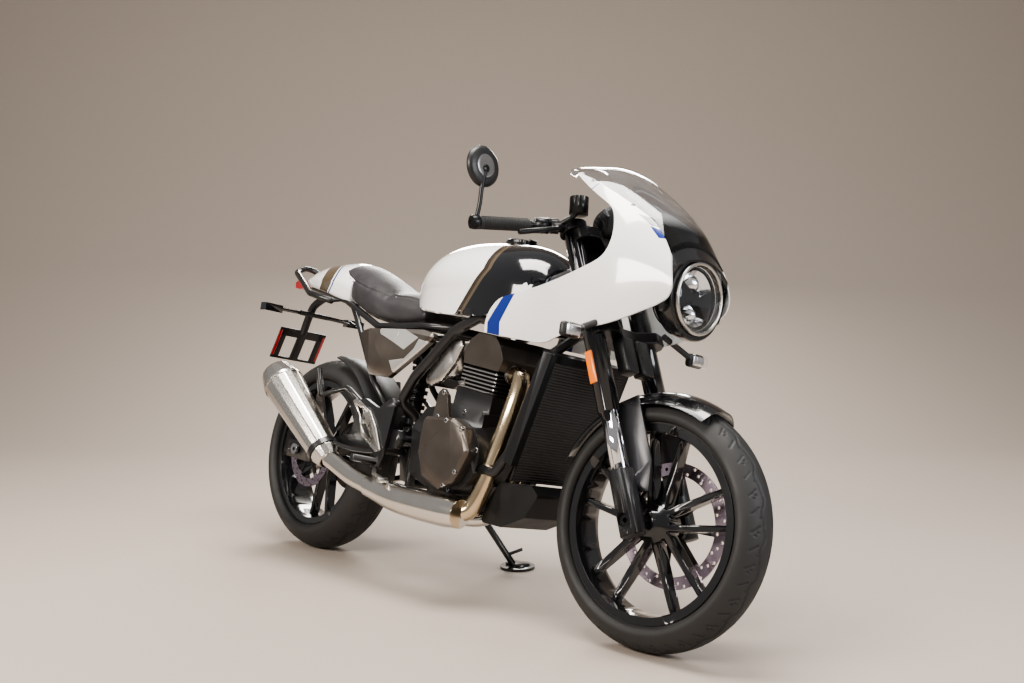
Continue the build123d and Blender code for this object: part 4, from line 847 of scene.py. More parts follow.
def groove_weight(angle, across):
    """How deep a point of the tread is cut, from 0 to 1, by its angle and its place across in millimetres."""
    side = abs(across)
    step = (angle / tau * TREAD_REPEATS + (0.5 if across > 0 else 0.0)) % 1.0
    wave = WAVE_MIDDLE + 4.5 * sin(tau * step) + 1.6 * sin(2 * tau * step)
    cut_depth = max(0.0, 1.0 - abs(side - wave) / WAVE_HALF_WIDTH)
    slant = step * 2 % 1.0 - 0.25 - (side - 36.0) * 0.022
    if CUT_BAND[0] < side < CUT_BAND[1]:
        cut_depth = max(cut_depth, 1.0 - abs(slant) / 0.075)
    for pit_step, pit_side in PITS:
        away = hypot(((step - pit_step + 0.5) % 1.0 - 0.5) * PIT_SPACING, side - pit_side)
        cut_depth = max(cut_depth, 1.0 - max(0.0, away - 1.4) / 1.6)
    return min(1.0, max(0.0, cut_depth) * 1.6)


def tyre(node, centre, radius, half, rim_half, shoulder, steered):
    """A tyre whose profile runs from one bead over the crown to the other."""
    foot, wall, seat = BEAD + 0.3, FLANGE + 5, rim_half - 4.3
    flank = (radius - shoulder, -half)
    bulge = arc_points((wall, -seat), (radius - shoulder * 1.45, -half * 0.97), flank, 9)
    crown = arc_points(flank, (radius, 0.0), (flank[0], half), 52)
    profile = [(-seat, foot), (-seat, FLANGE + 1)] + [(across, reach) for reach, across in bulge + crown]
    profile += [(half, flank[0])] + [(-across, reach) for reach, across in reversed(bulge)]
    profile += [(seat, FLANGE + 1), (seat, foot)]
    piece = lathe(f"{node}_tread", profile, tyre_rubber, segments=TYRE_SEGMENTS, angle=40)
    grooves = piece.vertex_groups.new(name="grooves")
    for v in piece.data.vertices:
        weight = groove_weight(atan2(v.co.y, v.co.x), v.co.z)
        if weight > 0.02 and hypot(v.co.x, v.co.y) > radius - shoulder * 1.1:
            grooves.add([v.index], weight, "REPLACE")
    modified(piece, "DISPLACE", strength=-GROOVE_DEPTH, mid_level=0.0, vertex_group=grooves.name)
    return stands_for(settle(piece, centre, (0, 1, 0), steered), node)


tyres = (tyre("front_tyre", FRONT_AXLE, 292.8, 55.0, 44.0, 36.0, True),
         tyre("rear_tyre", REAR_AXLE, 306.0, 75.0, 57.0, 45.0, False))
print("tyres:", sum(len(piece.data.polygons) for piece in tyres), "quads")

# %% [markdown]
# Some forms are finer than the CAD model's: the fairing with its screen and lining, the seat and cowl, the
# exhaust, the yokes. They are lofts. A table gives a few sections, the values between them are eased along
# the length, and each section becomes a ring of points; the rings are joined into one even skin.


# %% Lofts, sweeps and plates
def eased_rows(table, steps):
    """The table's rows with more rows between them, each value along a smooth curve over the first."""
    rows = []
    last = len(table) - 1
    for i in range(last):
        here, after = table[i], table[i + 1]
        before, beyond = table[max(i - 1, 0)], table[min(i + 2, last)]
        span = after[0] - here[0]
        for k in range(steps):
            t = k / steps
            w = (2 * t ** 3 - 3 * t ** 2 + 1, t ** 3 - 2 * t ** 2 + t, -2 * t ** 3 + 3 * t ** 2,
                 t ** 3 - t ** 2)
            row = []
            for a, b, c, d in zip(before, here, after, beyond):
                slope_in = (c - a) / (after[0] - before[0]) * span
                slope_out = (d - b) / (beyond[0] - here[0]) * span
                row.append(w[0] * b + w[1] * slope_in + w[2] * c + w[3] * slope_out)
            rows.append(tuple(row))
    return rows + [tuple(table[-1])]


def loft(name, rings, finish, capped=True, angle=35):
    """One skin over a list of closed rings of points, with its faces outwards."""
    mesh = bmesh.new()
    loops = [[mesh.verts.new(at) for at in ring] for ring in rings]
    for first, second in zip(loops, loops[1:]):
        for i in range(len(first)):
            j = (i + 1) % len(first)
            mesh.faces.new((first[i], first[j], second[j], second[i]))
    middle = sum((v.co for v in loops[0]), Vector()) / len(loops[0])
    mesh.faces.ensure_lookup_table()
    side = mesh.faces[0]
    side.normal_update()
    if side.normal.dot(side.calc_center_median() - middle) < 0:
        bmesh.ops.reverse_faces(mesh, faces=mesh.faces)
    if capped:
        mesh.faces.new(loops[0])
        mesh.faces.new(loops[-1])
        bmesh.ops.recalc_face_normals(mesh, faces=mesh.faces)
    data = bpy.data.meshes.new(name)
    mesh.to_mesh(data)
    mesh.free()
    return finished(linked(name, data), finish, angle)


def swept(name, stations, finish, sides=32):
    """A round bar or pipe on the chassis whose middle and radius follow stations of x, y, z and radius."""
    lengths = [0.0]
    for first, second in zip(stations, stations[1:]):
        lengths.append(lengths[-1] + (Vector(second[:3]) - Vector(first[:3])).length)
    rows = eased_rows([(s, *station) for s, station in zip(lengths, stations)], 6)
    middles = [Vector(row[1:4]) for row in rows]
    rings = []
    across = Vector((0, 1, 0))
    for i, row in enumerate(rows):
        ahead = (middles[min(i + 1, len(rows) - 1)] - middles[max(i - 1, 0)]).normalized()
        if abs(ahead.dot(across)) > 0.98:
            across = Vector(UP)
        across = (across - ahead * ahead.dot(across)).normalized()
        up = ahead.cross(across)
        turns = [tau * k / sides for k in range(sides)]
        rings.append([middles[i] + (across * cos(turn) + up * sin(turn)) * row[4] for turn in turns])
    piece = loft(name, rings, finish, angle=50)
    piece.data.transform(upright_to_frame)
    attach(piece, "chassis")
    return piece


def slab(name, outline, low, high, finish):
    """A flat part with an outline in x and z, from one y to another, still in upright millimetres."""
    return loft(name, [[Vector((x, y, z)) for x, z in outline] for y in (low, high)], finish, angle=30)


def cut(piece, tool, operation):
    """Keeps what two solids share, or takes one from the other; the tool goes."""
    modified(piece, "BOOLEAN", operation=operation, solver="EXACT", object=tool)
    bpy.data.objects.remove(tool)


def softened(outline, sharp):
    """An outline with each corner cut twice, except the sharp ones given by their index."""
    points = [(at, i in sharp) for i, at in enumerate(outline)]
    for _ in range(2):
        finer = []
        for i, (at, keep) in enumerate(points):
            if keep:
                finer.append((at, True))
                continue
            for other in (points[i - 1][0], points[(i + 1) % len(points)][0]):
                finer.append(((at[0] * 0.75 + other[0] * 0.25, at[1] * 0.75 + other[1] * 0.25), False))
        points = finer
    return [at for at, _ in points]


# %% [markdown]
# The half fairing is one bulged form. The white panel, the clear screen and the black lining of the nose
# are cut from it by their outlines as seen from the side, so they meet edge to edge, as the real mouldings
# do. The sides leave the waist on arcs, towards the floor and towards the brow, and a third arc crowns the
# screen.

# %% Fairing, screen and headlight lining
FAIRING_SECTIONS = (
    # x, floor half, floor, waist half, waist, brow half, brow, top
    (812, 137, 694, 146, 794, 80, 1206, 1222), (850, 138, 690, 148, 800, 82, 1206, 1222),
    (1000, 138, 672, 157, 838, 90, 1156, 1178), (1060, 142, 672, 160, 850, 95, 1136, 1173),
    (1130, 145, 684, 160, 864, 101, 1106, 1164), (1200, 145, 708, 158, 876, 105, 1071, 1136),
    (1285, 136, 736, 148, 880, 105, 1026, 1080), (1353, 122, 764, 133, 868, 101, 972, 1020),
    (1396, 112, 790, 121, 856, 104, 914, 951), (1421, 108, 798, 113, 842, 105, 878, 920),
)
PANEL_VIEW = (
    # From the rear over the cockpit opening to the tip, down the screen's edge to the nose, and back below
    (889, 700), (826, 708), (829, 740), (846, 772), (878, 800), (946, 812), (1058, 834), (1150, 866),
    (1218, 893), (1240, 920), (1244, 959), (1230, 1002), (1209, 1032), (1169, 1056), (1111, 1091),
    (1050, 1133), (1053, 1139), (1130, 1106), (1200, 1071), (1262, 1038), (1326, 1000), (1353, 972),
    (1372, 949), (1396, 914), (1409, 878), (1418, 844), (1416, 822), (1403, 802), (1336, 770),
    (1271, 744), (1200, 727), (1112, 706), (1063, 684), (974, 692),
)
SCREEN_VIEW = (
    (1016, 1156), (1018, 1138), (1044, 1126), (1049, 1134.5), (1053, 1139.8), (1130, 1106.4), (1200, 1071.4),
    (1262, 1038.4), (1326, 1000.4), (1353, 972.4), (1372, 949.4), (1395, 915.8), (1398, 1040), (1250, 1190),
    (1090, 1210),
)
LINING_VIEW = ((1386, 750), (1394, 750), (1403, 850), (1416, 902), (1424, 950), (1386, 1010))
PANEL_CORNERS = (0, 1, 15, 16)
COLLAR = ((-78, 72), (-52, 93), (-20, 101), (-5, 101), (-2, 98), (-2, 89))
FAIRING_STEPS, FLANK_STEPS, CROWN_STEPS = 7, 14, 12


def arc_over(half, top, rise, steps):
    """An arc of (y, z) points from the left shoulder over the top to the right one."""
    radius = (half ** 2 + rise ** 2) / (2 * rise)
    reach = asin(min(1.0, half / radius))
    if rise > half:
        reach = pi - reach
    turns = [reach * (1 - k / steps) for k in range(2 * steps + 1)]
    return [(radius * sin(turn), top - radius * (1 - cos(turn))) for turn in turns]


def fairing_ring(row, wall):
    """One section of the fairing as a ring of points, moved in by a wall."""
    x, floor_half, floor, half, waist, brow_half, brow, top = row
    floor_half, half, brow_half = floor_half - wall, half - wall, brow_half - wall
    floor, brow, top = floor - wall, brow - wall / 3, top - wall
    flanks = []
    for end_half, end in ((floor_half, floor), (brow_half, brow)):
        inward, climb = max(half - end_half, 0.5), end - waist
        radius = (inward ** 2 + climb ** 2) / (2 * inward)
        turn = asin(max(-1.0, min(1.0, climb / radius))) / FLANK_STEPS
        flanks.append([(half - radius * (1 - cos(turn * k)), waist + radius * sin(turn * k))
                       for k in range(FLANK_STEPS + 1)])
    flank = flanks[0][::-1] + flanks[1][1:]
    crown = arc_over(brow_half, top, top - brow, CROWN_STEPS)[1:-1]
    return [Vector((x, -y, z)) for y, z in flank + crown] + [Vector((x, y, z)) for y, z in reversed(flank)]


def fairing_part(name, view, finish, wall=0.0, thickness=4.0):
    """A moulding cut from the fairing's skin by its outline as seen from the side."""
    rings = [fairing_ring(row, wall) for row in eased_rows(FAIRING_SECTIONS, FAIRING_STEPS)]
    piece = loft(name, rings, finish, False, 40)
    modified(piece, "SOLIDIFY", thickness=thickness, offset=-1.0)
    cut(piece, slab(f"{name}_tool", view, -260, 260, finish), "INTERSECT")
    finished(piece, finish, 40)
    piece.data.transform(upright_to_frame)
    return piece


panel = fairing_part("fairing_panel", softened(PANEL_VIEW, PANEL_CORNERS), fairing_paint)
screen = fairing_part("fairing_screen", SCREEN_VIEW, screen_clear, 0.2, 3.4)
stands_for(panel, "fairing")
stands_for(screen, "windscreen")
lining = fairing_part("headlight_lining", LINING_VIEW, lining_black, 4.3)
collar = turned("headlight_collar", COLLAR, lining_black, LAMP_CENTRE, AHEAD, segments=96)
rides("chassis", lining, collar)
for piece in (panel, screen, lining, collar):
    print("fairing piece:", piece.name, len(piece.data.polygons), "faces")

# %% [markdown]
# The seat and the cowl behind it share one section: a flat floor, upright sides and an arched top. They
# overlap where the cowl's lip lies over the seat's tail.

# %% Seat and tail cowl
SEAT_SECTIONS = (
    # x, half width, floor, shoulder, top
    (-18, 66, 884, 900, 927), (50, 97, 846, 884, 929), (124, 111, 800, 852, 913), (220, 117, 757, 815, 874),
    (310, 112, 738, 787, 838), (400, 102, 737, 778, 828), (505, 95, 748, 768, 798),
)
COWL_SECTIONS = (
    (-264, 30, 858, 864, 880), (-205, 66, 850, 870, 908), (-110, 92, 836, 868, 930),
    (-10, 107, 817, 862, 936), (60, 111, 801, 852, 934), (128, 112, 790, 840, 914),
)
EDGE_INWARD, EDGE_RISE = 8, 9


def arched_form(name, sections, steps, finish, angle):
    """A skin whose section is a flat floor with rounded edges, upright sides and an arc over the top."""
    rings = []
    for x, half, floor, shoulder, top in eased_rows(sections, steps):
        foot = floor + EDGE_RISE
        left = [(half - EDGE_INWARD, floor), (half - 2, floor + 3), (half, foot)]
        left += [(half, foot + (shoulder - foot) * part) for part in (0.33, 0.66)]
        arc = arc_over(half, top, top - shoulder, 14)
        rings.append([Vector((x, y, z)) for y, z in left + arc + [(-y, z) for y, z in reversed(left)]])
    piece = loft(name, rings, finish, angle=angle)
    piece.data.transform(upright_to_frame)
    return piece


pad = stands_for(arched_form("seat_pad", SEAT_SECTIONS, 8, seat_vinyl, 35), "seat")
stands_for(arched_form("cowl_skin", COWL_SECTIONS, 10, cowl_paint, 45), "tail_cowl")

# %% [markdown]
# The two header pipes leave the cylinder head, run down before the engine and turn back under it. The
# collector takes them to the muffler, and a shield covers it along the right side.

# %% Exhaust pipes and heat shield
HEADER_RIGHT = (
    (866, -56, 604), (908, -60, 600), (916, -80, 520), (888, -98, 370), (850, -114, 244),
    (800, -142, 224), (700, -156, 226),
)
HEADER_LEFT = (
    (866, 52, 604), (910, 52, 600), (914, 44, 520), (878, 8, 350), (840, -36, 226), (790, -96, 210),
    (720, -146, 222),
)
COLLECTOR = ((470, -168, 246), (392, -176, 262), (300, -186, 294), (262, -188, 306))
SHIELD = ((848, -146, 226, 38), (780, -152, 226, 42), (600, -162, 231, 40), (470, -168, 247, 33))
PORT_X, PORT_Y, PORT_Z, FLANGE_RADIUS = 868, 54, 604, 28
pipes = [swept(name, [(*at, radius) for at in route], header_steel) for name, route, radius in (
    ("header_right", HEADER_RIGHT, 25.0), ("header_left", HEADER_LEFT, 19.5), ("collector", COLLECTOR, 27))]
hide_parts("exhaust_header")
swept("exhaust_shield", SHIELD, header_steel, sides=48)
for side in (-1, 1):
    rides("chassis", turned(f"header_flange_{side}", ((0, FLANGE_RADIUS), (9, FLANGE_RADIUS)), bolt_steel,
                            (PORT_X, PORT_Y * side, PORT_Z), AHEAD, segments=48, closed=("first", "last")))

# %% [markdown]
# The lower and upper yokes are plates waisted round the steering stem, with a swelling round each fork tube.

# %% Fork yokes and stem
YOKE_HALF = ((-34, 24), (-4, 88), (2, 122), (14, 129.5), (34, 129.5), (52, 114), (60, 78), (34, 28))
YOKES = (("yoke_lower", 455, 485), ("yoke_upper", 713, 743))
STEM_RADIUS, STEM_FOOT, STEM_TOP = 15, 450, 748
outline = YOKE_HALF + tuple((ahead, -y) for ahead, y in reversed(YOKE_HALF))
yokes = []
for name, low, high in YOKES:
    rings = [[on_fork(distance, y, ahead) for ahead, y in outline] for distance in (low, high)]
    yoke = loft(name, rings, bar_black, angle=30)
    modified(yoke, "BEVEL", width=3.0, segments=3, limit_method="ANGLE")
    yokes.append(yoke)
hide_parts("fork_yokes")
turns = [tau * k / 32 for k in range(32)]
rings = [[on_fork(distance, STEM_RADIUS * sin(turn), STEM_RADIUS * cos(turn)) for turn in turns]
         for distance in (STEM_FOOT, STEM_TOP)]
stem = loft("steering_stem", rings, bar_black)
for piece in (*yokes, stem):
    piece.data.transform(steered_to_frame)
    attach(piece, "steering")

# %% [markdown]
# The front indicators are clear lenses in black bodies on short stalks, with a bright bowl inside. The
# fairing hangs on a cross rod behind the lamp and on two short rods low at the sides. The heel guards are
# aluminium plates with two windows each. The horns' boxes hang below the lower yoke.

# %% Front indicators, fairing stay, heel guards and horns
INDICATOR_X, INDICATOR_Y, INDICATOR_Z = 1246, 238, 708
INDICATOR_PARTS = (
    # Name, size, distance ahead, finish, bevel
    ("body", (20, 60, 36), -9, plastic_black, 9), ("lens", (22, 56, 33), 8, lens_clear, 10),
    ("bowl", (6, 44, 24), 4, lamp_silver, 2.5),
)
STALK = ((1224, 118, 752), (1232, 180, 728), (1238, 214, 714))
HEEL_GUARD = (
    (294, 482), (312, 492), (352, 474), (392, 456), (430, 412), (466, 352), (444, 342), (404, 364),
    (362, 384), (338, 442),
)
HEEL_WINDOWS = (
    ((322, 470), (348, 462), (372, 432), (350, 428)), ((352, 416), (378, 420), (418, 376), (372, 394)),
)
HEEL_INNER, HEEL_OUTER = 146.4, 152.0
HORN_SIZE, HORN_UP, HORN_ACROSS, HORN_AHEAD = (34, 46, 92), 409, 31, 28
for side in (-1, 1):
    for name, size, ahead, finish, bevel in INDICATOR_PARTS:
        at = (INDICATOR_X + ahead, INDICATOR_Y * side, INDICATOR_Z)
        piece = block(f"indicator_{name}_{side}", size, at, finish, bevel=bevel)
        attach(piece, "chassis")
        if side < 0 and name == "body":
            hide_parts("front_indicators")
    swept(f"indicator_stalk_{side}", [(x, y * side, z, 8) for x, y, z in STALK], plastic_black, 20)

cross_rod = swept("fairing_stay_bar", [(1290, y, 832, 6) for y in (-128, 0, 128)], frame_black, 20)
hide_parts("fairing_stay")
for side in (-1, 1):
    swept(f"fairing_rod_{side}", [(960, y * side, 735, 6) for y in (92, 112, 132)], frame_black, 20)

for side in (-1, 1):
    faces = sorted((HEEL_INNER * side, HEEL_OUTER * side))
    guard = slab(f"heel_guard_{side}", HEEL_GUARD, *faces, cast_silver)
    modified(guard, "BEVEL", width=1.4, segments=3, limit_method="ANGLE", angle_limit=radians(50))
    for window in HEEL_WINDOWS:
        cut(guard, slab("opening", window, *sorted((140 * side, 160 * side)), cast_silver), "DIFFERENCE")
    guard.data.transform(upright_to_frame)
    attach(guard, "chassis")
for side in (-1, 1):
    at = on_fork(HORN_UP, HORN_ACROSS * side, HORN_AHEAD)
    rides("steering", block(f"horn_{side}", HORN_SIZE, at, plastic_black, UP_FORK, True, 5))
print("pipes, yokes and stays are in place")

# %% [markdown]
# The headlight is what a visitor meets first. A bright trim ring holds a clear domed lens. Behind it a
# black plate splits the lamp: an upper and a lower window show the mirror bowls, and the side quarters
# stay dark.

# %% Headlight
BOWL_RADIUS, GLASS_RADIUS = 77.0, 77.8
cx, cy, cz = LAMP_CENTRE


def dish(first, radius, depth, reaches):
    """A profile that starts at a rim and follows a parabola to its middle."""
    return [(first, radius)] + [(first + depth * (1 - (reach / radius) ** 2), reach) for reach in reaches]


ring_profile = arc_points((-44.0, 87.0), (-20.0, 87.8), (2.0, 87.6), 6)
ring_profile += arc_points((2.0, 87.6), (8.6, 83.0), (2.0, 78.4), 10)
ring_profile += [(2.0, 78.4), (-6.0, 77.6), (-44.0, 77.6)]
trim_ring = turned("headlight_ring", ring_profile, cast_silver, LAMP_CENTRE, AHEAD, segments=128, angle=45)
stands_for(trim_ring, "headlight")
shell_profile = ((-100.0, 6.0), (-98.0, 52.0), (-86.0, 68.0), (-44.0, 76.0), (-38.0, 87.0))
shell = turned("headlight_shell", shell_profile, gloss_black, LAMP_CENTRE, AHEAD, closed=("first",))
dome = dish(2.0, GLASS_RADIUS, 11.0, (74.0, 66.0, 54.0, 40.0, 24.0, 8.0, 0.5))
glass = turned("headlight_glass", dome, lens_clear, LAMP_CENTRE, AHEAD, segments=96, angle=60)
stands_for(glass, "headlight_lens")
bowl = dish(-8.0, BOWL_RADIUS, -34.0, (68.0, 58.0, 46.0, 34.0, 22.0, 10.0, 1.0))
mirror_bowl = turned("headlight_bowl", bowl, lamp_silver, LAMP_CENTRE, AHEAD, segments=24, angle=4)
rides("chassis", shell, mirror_bowl)

# %% [markdown]
# The black plate is a disc of fine triangles. Faces inside the two windows are deleted, by their angle and
# their distance from the middle, and what is left is extruded to a thickness. Two silver lobes stand in
# the windows.

# %% Headlight plate and projectors
WINDOWS = ((28.0, 148.0), (212.0, 318.0))
WINDOW_INNER, WINDOW_OUTER, PLATE_THICKNESS = 15.0, 71.0, 5.0
LOBES = (("upper", 36.0, 26.0, -30.0), ("lower", -38.0, 22.0, -26.0))
deselect_all()
bpy.ops.mesh.primitive_circle_add(vertices=180, radius=BOWL_RADIUS, fill_type="TRIFAN")
plate = named("headlight_spokes")
edit_all()
bpy.ops.mesh.subdivide(number_cuts=7)
bpy.ops.mesh.select_all(action="DESELECT")
mesh = bmesh.from_edit_mesh(plate.data)
for face in mesh.faces:
    middle = face.calc_center_median()
    angle = degrees(atan2(middle.y, middle.x)) % 360
    in_window = any(low < angle < high for low, high in WINDOWS)
    face.select = in_window and WINDOW_INNER < hypot(middle.x, middle.y) < WINDOW_OUTER
bmesh.update_edit_mesh(plate.data)
bpy.ops.mesh.delete(type="FACE")
bpy.ops.mesh.select_all(action="SELECT")
bpy.ops.mesh.extrude_region_move(TRANSFORM_OT_translate={"value": (0, 0, -PLATE_THICKNESS)})
bpy.ops.mesh.select_all(action="SELECT")
bpy.ops.mesh.normals_make_consistent(inside=False)
bpy.ops.object.mode_set(mode="OBJECT")
plate.data.materials.append(gloss_black.material)
rides("chassis", settle(plate, (cx - 9.0, cy, cz), AHEAD))
for name, up, reach, depth in LOBES:
    lobe = dish(0.0, reach, 20.0, (reach * 0.85, reach * 0.6, reach * 0.3, 0.5))
    rides("chassis", turned(f"headlight_{name}_projector", lobe, lamp_silver, (cx + depth, 0, cz + up), AHEAD,
                            segments=32, angle=50))

# %% [markdown]
# Bolts hold every cover. One socket bolt is modelled: a cylinder with a bevelled head and a socket inset
# into it. It is copied to each place in a table, scaled, and dropped onto the skin that it holds along a
# ray.

# %% Bolts
HEAD_HEIGHT, HEAD_RIM, HEAD_RISE = 0.9, 0.14, 0.12
SOCKET_RIM, SOCKET_DEPTH = 0.36, 0.55
deselect_all()
bpy.ops.mesh.primitive_cylinder_add(vertices=24, radius=1.0, depth=HEAD_HEIGHT,
                                    location=(0, 0, HEAD_HEIGHT / 2))
bolt = named("bolt_pattern")
bpy.ops.object.mode_set(mode="EDIT")
mesh = bmesh.from_edit_mesh(bolt.data)
bpy.ops.mesh.select_all(action="DESELECT")
for face in mesh.faces:
    face.select = face.normal.z > 0.9
bmesh.update_edit_mesh(bolt.data)
bpy.ops.mesh.inset(thickness=HEAD_RIM)
bpy.ops.transform.translate(value=(0, 0, HEAD_RISE))
bpy.ops.mesh.inset(thickness=SOCKET_RIM)
bpy.ops.mesh.extrude_region_move(TRANSFORM_OT_translate={"value": (0, 0, -SOCKET_DEPTH)})
bpy.ops.object.mode_set(mode="OBJECT")
bolt.data.materials.append(bolt_steel.material)

BOLTS = (
    # Name, radius, the way it faces, places near the skin
    ("cover_bolt", 7.0, RIGHT, (
        (721, -157, 536), (674, -157, 520), (764, -157, 492), (709, -180, 470), (774, -180, 462),
        (839, -180, 444), (872, -180, 396), (836, -180, 333), (791, -180, 293), (744, -180, 279))),
    ("case_bolt", 6.0, RIGHT, ((625, -140, 369), (878, -115, 462), (933, -92, 603), (805, -92, 707))),
    ("screen_screw", 5.0, (0.25, -0.95, 0.1), ((1112, -101, 1110), (1261, -105, 1036))),
)
RAY_START, SUNK = 80, 0.3
HOSTS = [skins[name] for name in ("clutch_cover", "crankcase", "cylinder", "cylinder_head", "intake_cover")]
HOSTS += [panel, screen]


def seat_bolt(name, radius, at, facing):
    """A copy of the bolt on the nearest skin below a place, or none where there is no skin."""
    turn = upright_to_frame.to_3x3()
    origin = place(*(Vector(at) + Vector(facing) * RAY_START))
    out = (turn @ Vector(facing)).normalized()
    rays = [piece.ray_cast(origin, -out) for piece in HOSTS]
    spots = [where for hit, where, _, _ in rays if hit]
    if not spots:
        print("no seat for", name, at)
        return False
    nearest = min(spots, key=lambda where: (where - origin).length)
    piece = linked(name, bolt.data.copy())
    aim = out.to_track_quat("Z", "Y").to_matrix().to_4x4()
    seat = Matrix.Translation(nearest - out * radius * SUNK * MM)
    piece.data.transform(seat @ aim @ Matrix.Scale(radius * MM, 4))
    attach(piece, "chassis")
    return True


bpy.context.view_layer.update()
count = 0
for name, radius, facing, places in BOLTS:
    for at in places:
        count += seat_bolt(f"{name}_{count}", radius, at, facing)
print("bolts:", count)
bpy.data.objects.remove(bolt)

# %% [markdown]
# A grip is turned with a rib every few millimetres, and a weight closes the bar's end. Below a mirror
# stands a stalk: a bevelled path, turned into a mesh at once. The mirror's shell, boss, knuckle and glass
# are turned.


# %% Grips and mirrors
def tube(name, points, radius, finish, steered=False):
    """A round bar that bends smoothly through upright places."""
    deselect_all()
    bpy.ops.curve.primitive_nurbs_path_add()
    curve = bpy.context.object.data
    curve.splines.clear()
    spline = curve.splines.new("NURBS")
    spline.points.add(len(points) - 1)
    for point, at in zip(spline.points, points):
        point.co = (*at, 1.0)
    spline.order_u = 3
    spline.use_endpoint_u = True
    curve.bevel_depth = radius
    curve.bevel_resolution = 5
    curve.use_fill_caps = True
    bpy.ops.object.convert(target="MESH")
    piece = finished(named(name), finish, 40)
    piece.data.transform(base_of(steered))
    return piece


CLIP_AT = 757.0
BEND, BAR_SWEEP = (-48.1, 102.2, -13.8), (-45.0, 160.0, -34.0)
STALK_RISE, MIRROR_RISE, STALK_RADIUS = 96.0, 45.0, 5.6
RIB_PITCH = 4.4
RIB = ((0.0, 15.7), (0.5, 16.7), (2.6, 16.7), (3.1, 15.7))
END_WEIGHT = (
    (0.0, 11.0), (0.2, 17.0), (2.0, 18.0), (16.0, 18.0), (20.0, 16.6), (21.6, 12.0), (21.8, 6.0),
    (19.0, 5.4), (19.0, 0.4),
)
MIRROR_FACING = Vector((18.0, 0, 2.0)).normalized()
MIRROR_PARTS = (
    # Name, profile, finish, distance down, segments, angle, closed ends
    ("shell", ((-9.0, 1.0), (-9.0, 48.5), (-8.0, 51.2), (-4.0, 52.0), (2.0, 50.4), (6.5, 44.0), (8.6, 33.0),
               (8.9, 28.6)), plastic_black, 0, 80, 40, ()),
    ("boss", ((8.7, 28.9), (9.2, 28.0), (9.6, 20.0), (9.8, 1.0)), pale_grey, 0, 64, 40, ("last",)),
    ("knuckle", ((6.0, 11.0), (12.0, 10.0), (14.0, 7.0), (14.4, 0.5)), bar_black, 8, 32, 35, ()),
    ("glass", ((-9.3, 47.0), (-9.4, 0.5)), bright_chrome, 0, 64, 35, ()),
)


def grip_profile(length):
    """A grip's profile: a collar, ribs as far as they fit, and an end flange."""
    fitting = int((length - 14) // RIB_PITCH)
    ribs = [(6 + i * RIB_PITCH + ahead, radius) for i in range(fitting) for ahead, radius in RIB]
    collar = [(0.0, 12.0), (0.2, 17.0), (5.0, 17.0)]
    return collar + ribs + [(length - 6, 17.0), (length - 0.2, 17.0), (length, 12.0)]


for side, label in ((-1, "right"), (1, "left")):
    mirrored = Vector((1, side, 1))
    bend = on_fork(CLIP_AT, side * FORK_HALF_GAP) + Vector(BEND) * mirrored
    end = bend + Vector(BAR_SWEEP) * mirrored
    along = (end - bend).normalized()
    ribbed = grip_profile((end - bend).length - 30.0)
    grip = turned(f"grip_{label}", ribbed, soft_rubber, bend + along * 12, along, True, segments=40, angle=25)
    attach(grip, "steering")
    if side < 0:
        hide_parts("hand_grips")
    cap = turned(f"bar_end_{label}", END_WEIGHT, bar_black, end - along * 17.8, along, True, segments=48)
    foot = end - along * 8
    top = foot + Vector((-2.0, 0, STALK_RISE))
    centre = top + Vector((0, 0, MIRROR_RISE))
    route = (foot, foot + Vector((4, side * -4, 34)), top + Vector((7, side * 3, 4)),
             centre + MIRROR_FACING * 9 - Vector((0, 0, 8)))
    rides("steering", cap, tube(f"mirror_stalk_{label}", route, STALK_RADIUS, bar_black, True))
    for name, profile, finish, down, segments, angle, closed in MIRROR_PARTS:
        at = centre - Vector((0, 0, down))
        piece = turned(f"mirror_{name}_{label}", profile, finish, at, MIRROR_FACING, True, segments=segments,
                       angle=angle, closed=closed)
        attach(piece, "steering")
        if (name, label) == ("shell", "left"):
            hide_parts("mirrors")
print("grips and mirrors are in place")

# %% [markdown]
# A reflector is a bevelled block of coloured plastic; amber ones sit on the fork, and red ones on both
# sides of the plate carrier. The carrier is an open frame of flat bars with a post in the middle. It
# carries no plate.

# %% Reflectors and plate carrier
CARRIER_TOP, CARRIER_FOOT = Vector((-284.5, 0, 704)), Vector((-331.5, 0, 597))
CARRIER_UP = (CARRIER_TOP - CARRIER_FOOT).normalized()
CARRIER_MIDDLE = (CARRIER_TOP + CARRIER_FOOT) / 2
AMBER_SIZE, AMBER_UP, AMBER_OUT, AMBER_AHEAD = (20.0, 6.0, 82.0), 376.0, 29.0, -6.0
RED_SIZE, RED_ACROSS = (5.6, 10.0, 96.0), 86.5
BARS = (
    # Name, thickness, width across, height, place across, place up
    ("top", 5.0, 184.0, 30.0, 0.0, 43.0), ("foot", 5.0, 184.0, 9.0, 0.0, -54.0),
    ("right", 5.0, 30.0, 112.0, -77.0, 1.0), ("left", 5.0, 30.0, 112.0, 77.0, 1.0),
    ("post", 9.0, 30.0, 108.0, 0.0, 2.0),
)
for side in (-1, 1):
    at = on_fork(AMBER_UP, side * (FORK_HALF_GAP + AMBER_OUT), AMBER_AHEAD)
    rides("steering", block(f"amber_reflector_{side}", AMBER_SIZE, at, amber_lens, UP_FORK, True, 1.6))
for name, *size, across, up in BARS:
    at = CARRIER_MIDDLE + CARRIER_UP * up + Vector((0, across, 0))
    bar = block(f"plate_carrier_{name}", size, at, plastic_black, CARRIER_UP, bevel=1.2)
    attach(bar, "chassis")
    if name == "top":
        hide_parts("number_plate")
for side in (-1, 1):
    at = CARRIER_MIDDLE + Vector((0, side * RED_ACROSS, 0))
    rides("chassis", block(f"red_reflector_{side}", RED_SIZE, at, red_lens, CARRIER_UP, bevel=1.2))
arm_route = ((-140, 0, 838), (-236, 0, 806), (-266, 0, 770), (-290, 0, 692))
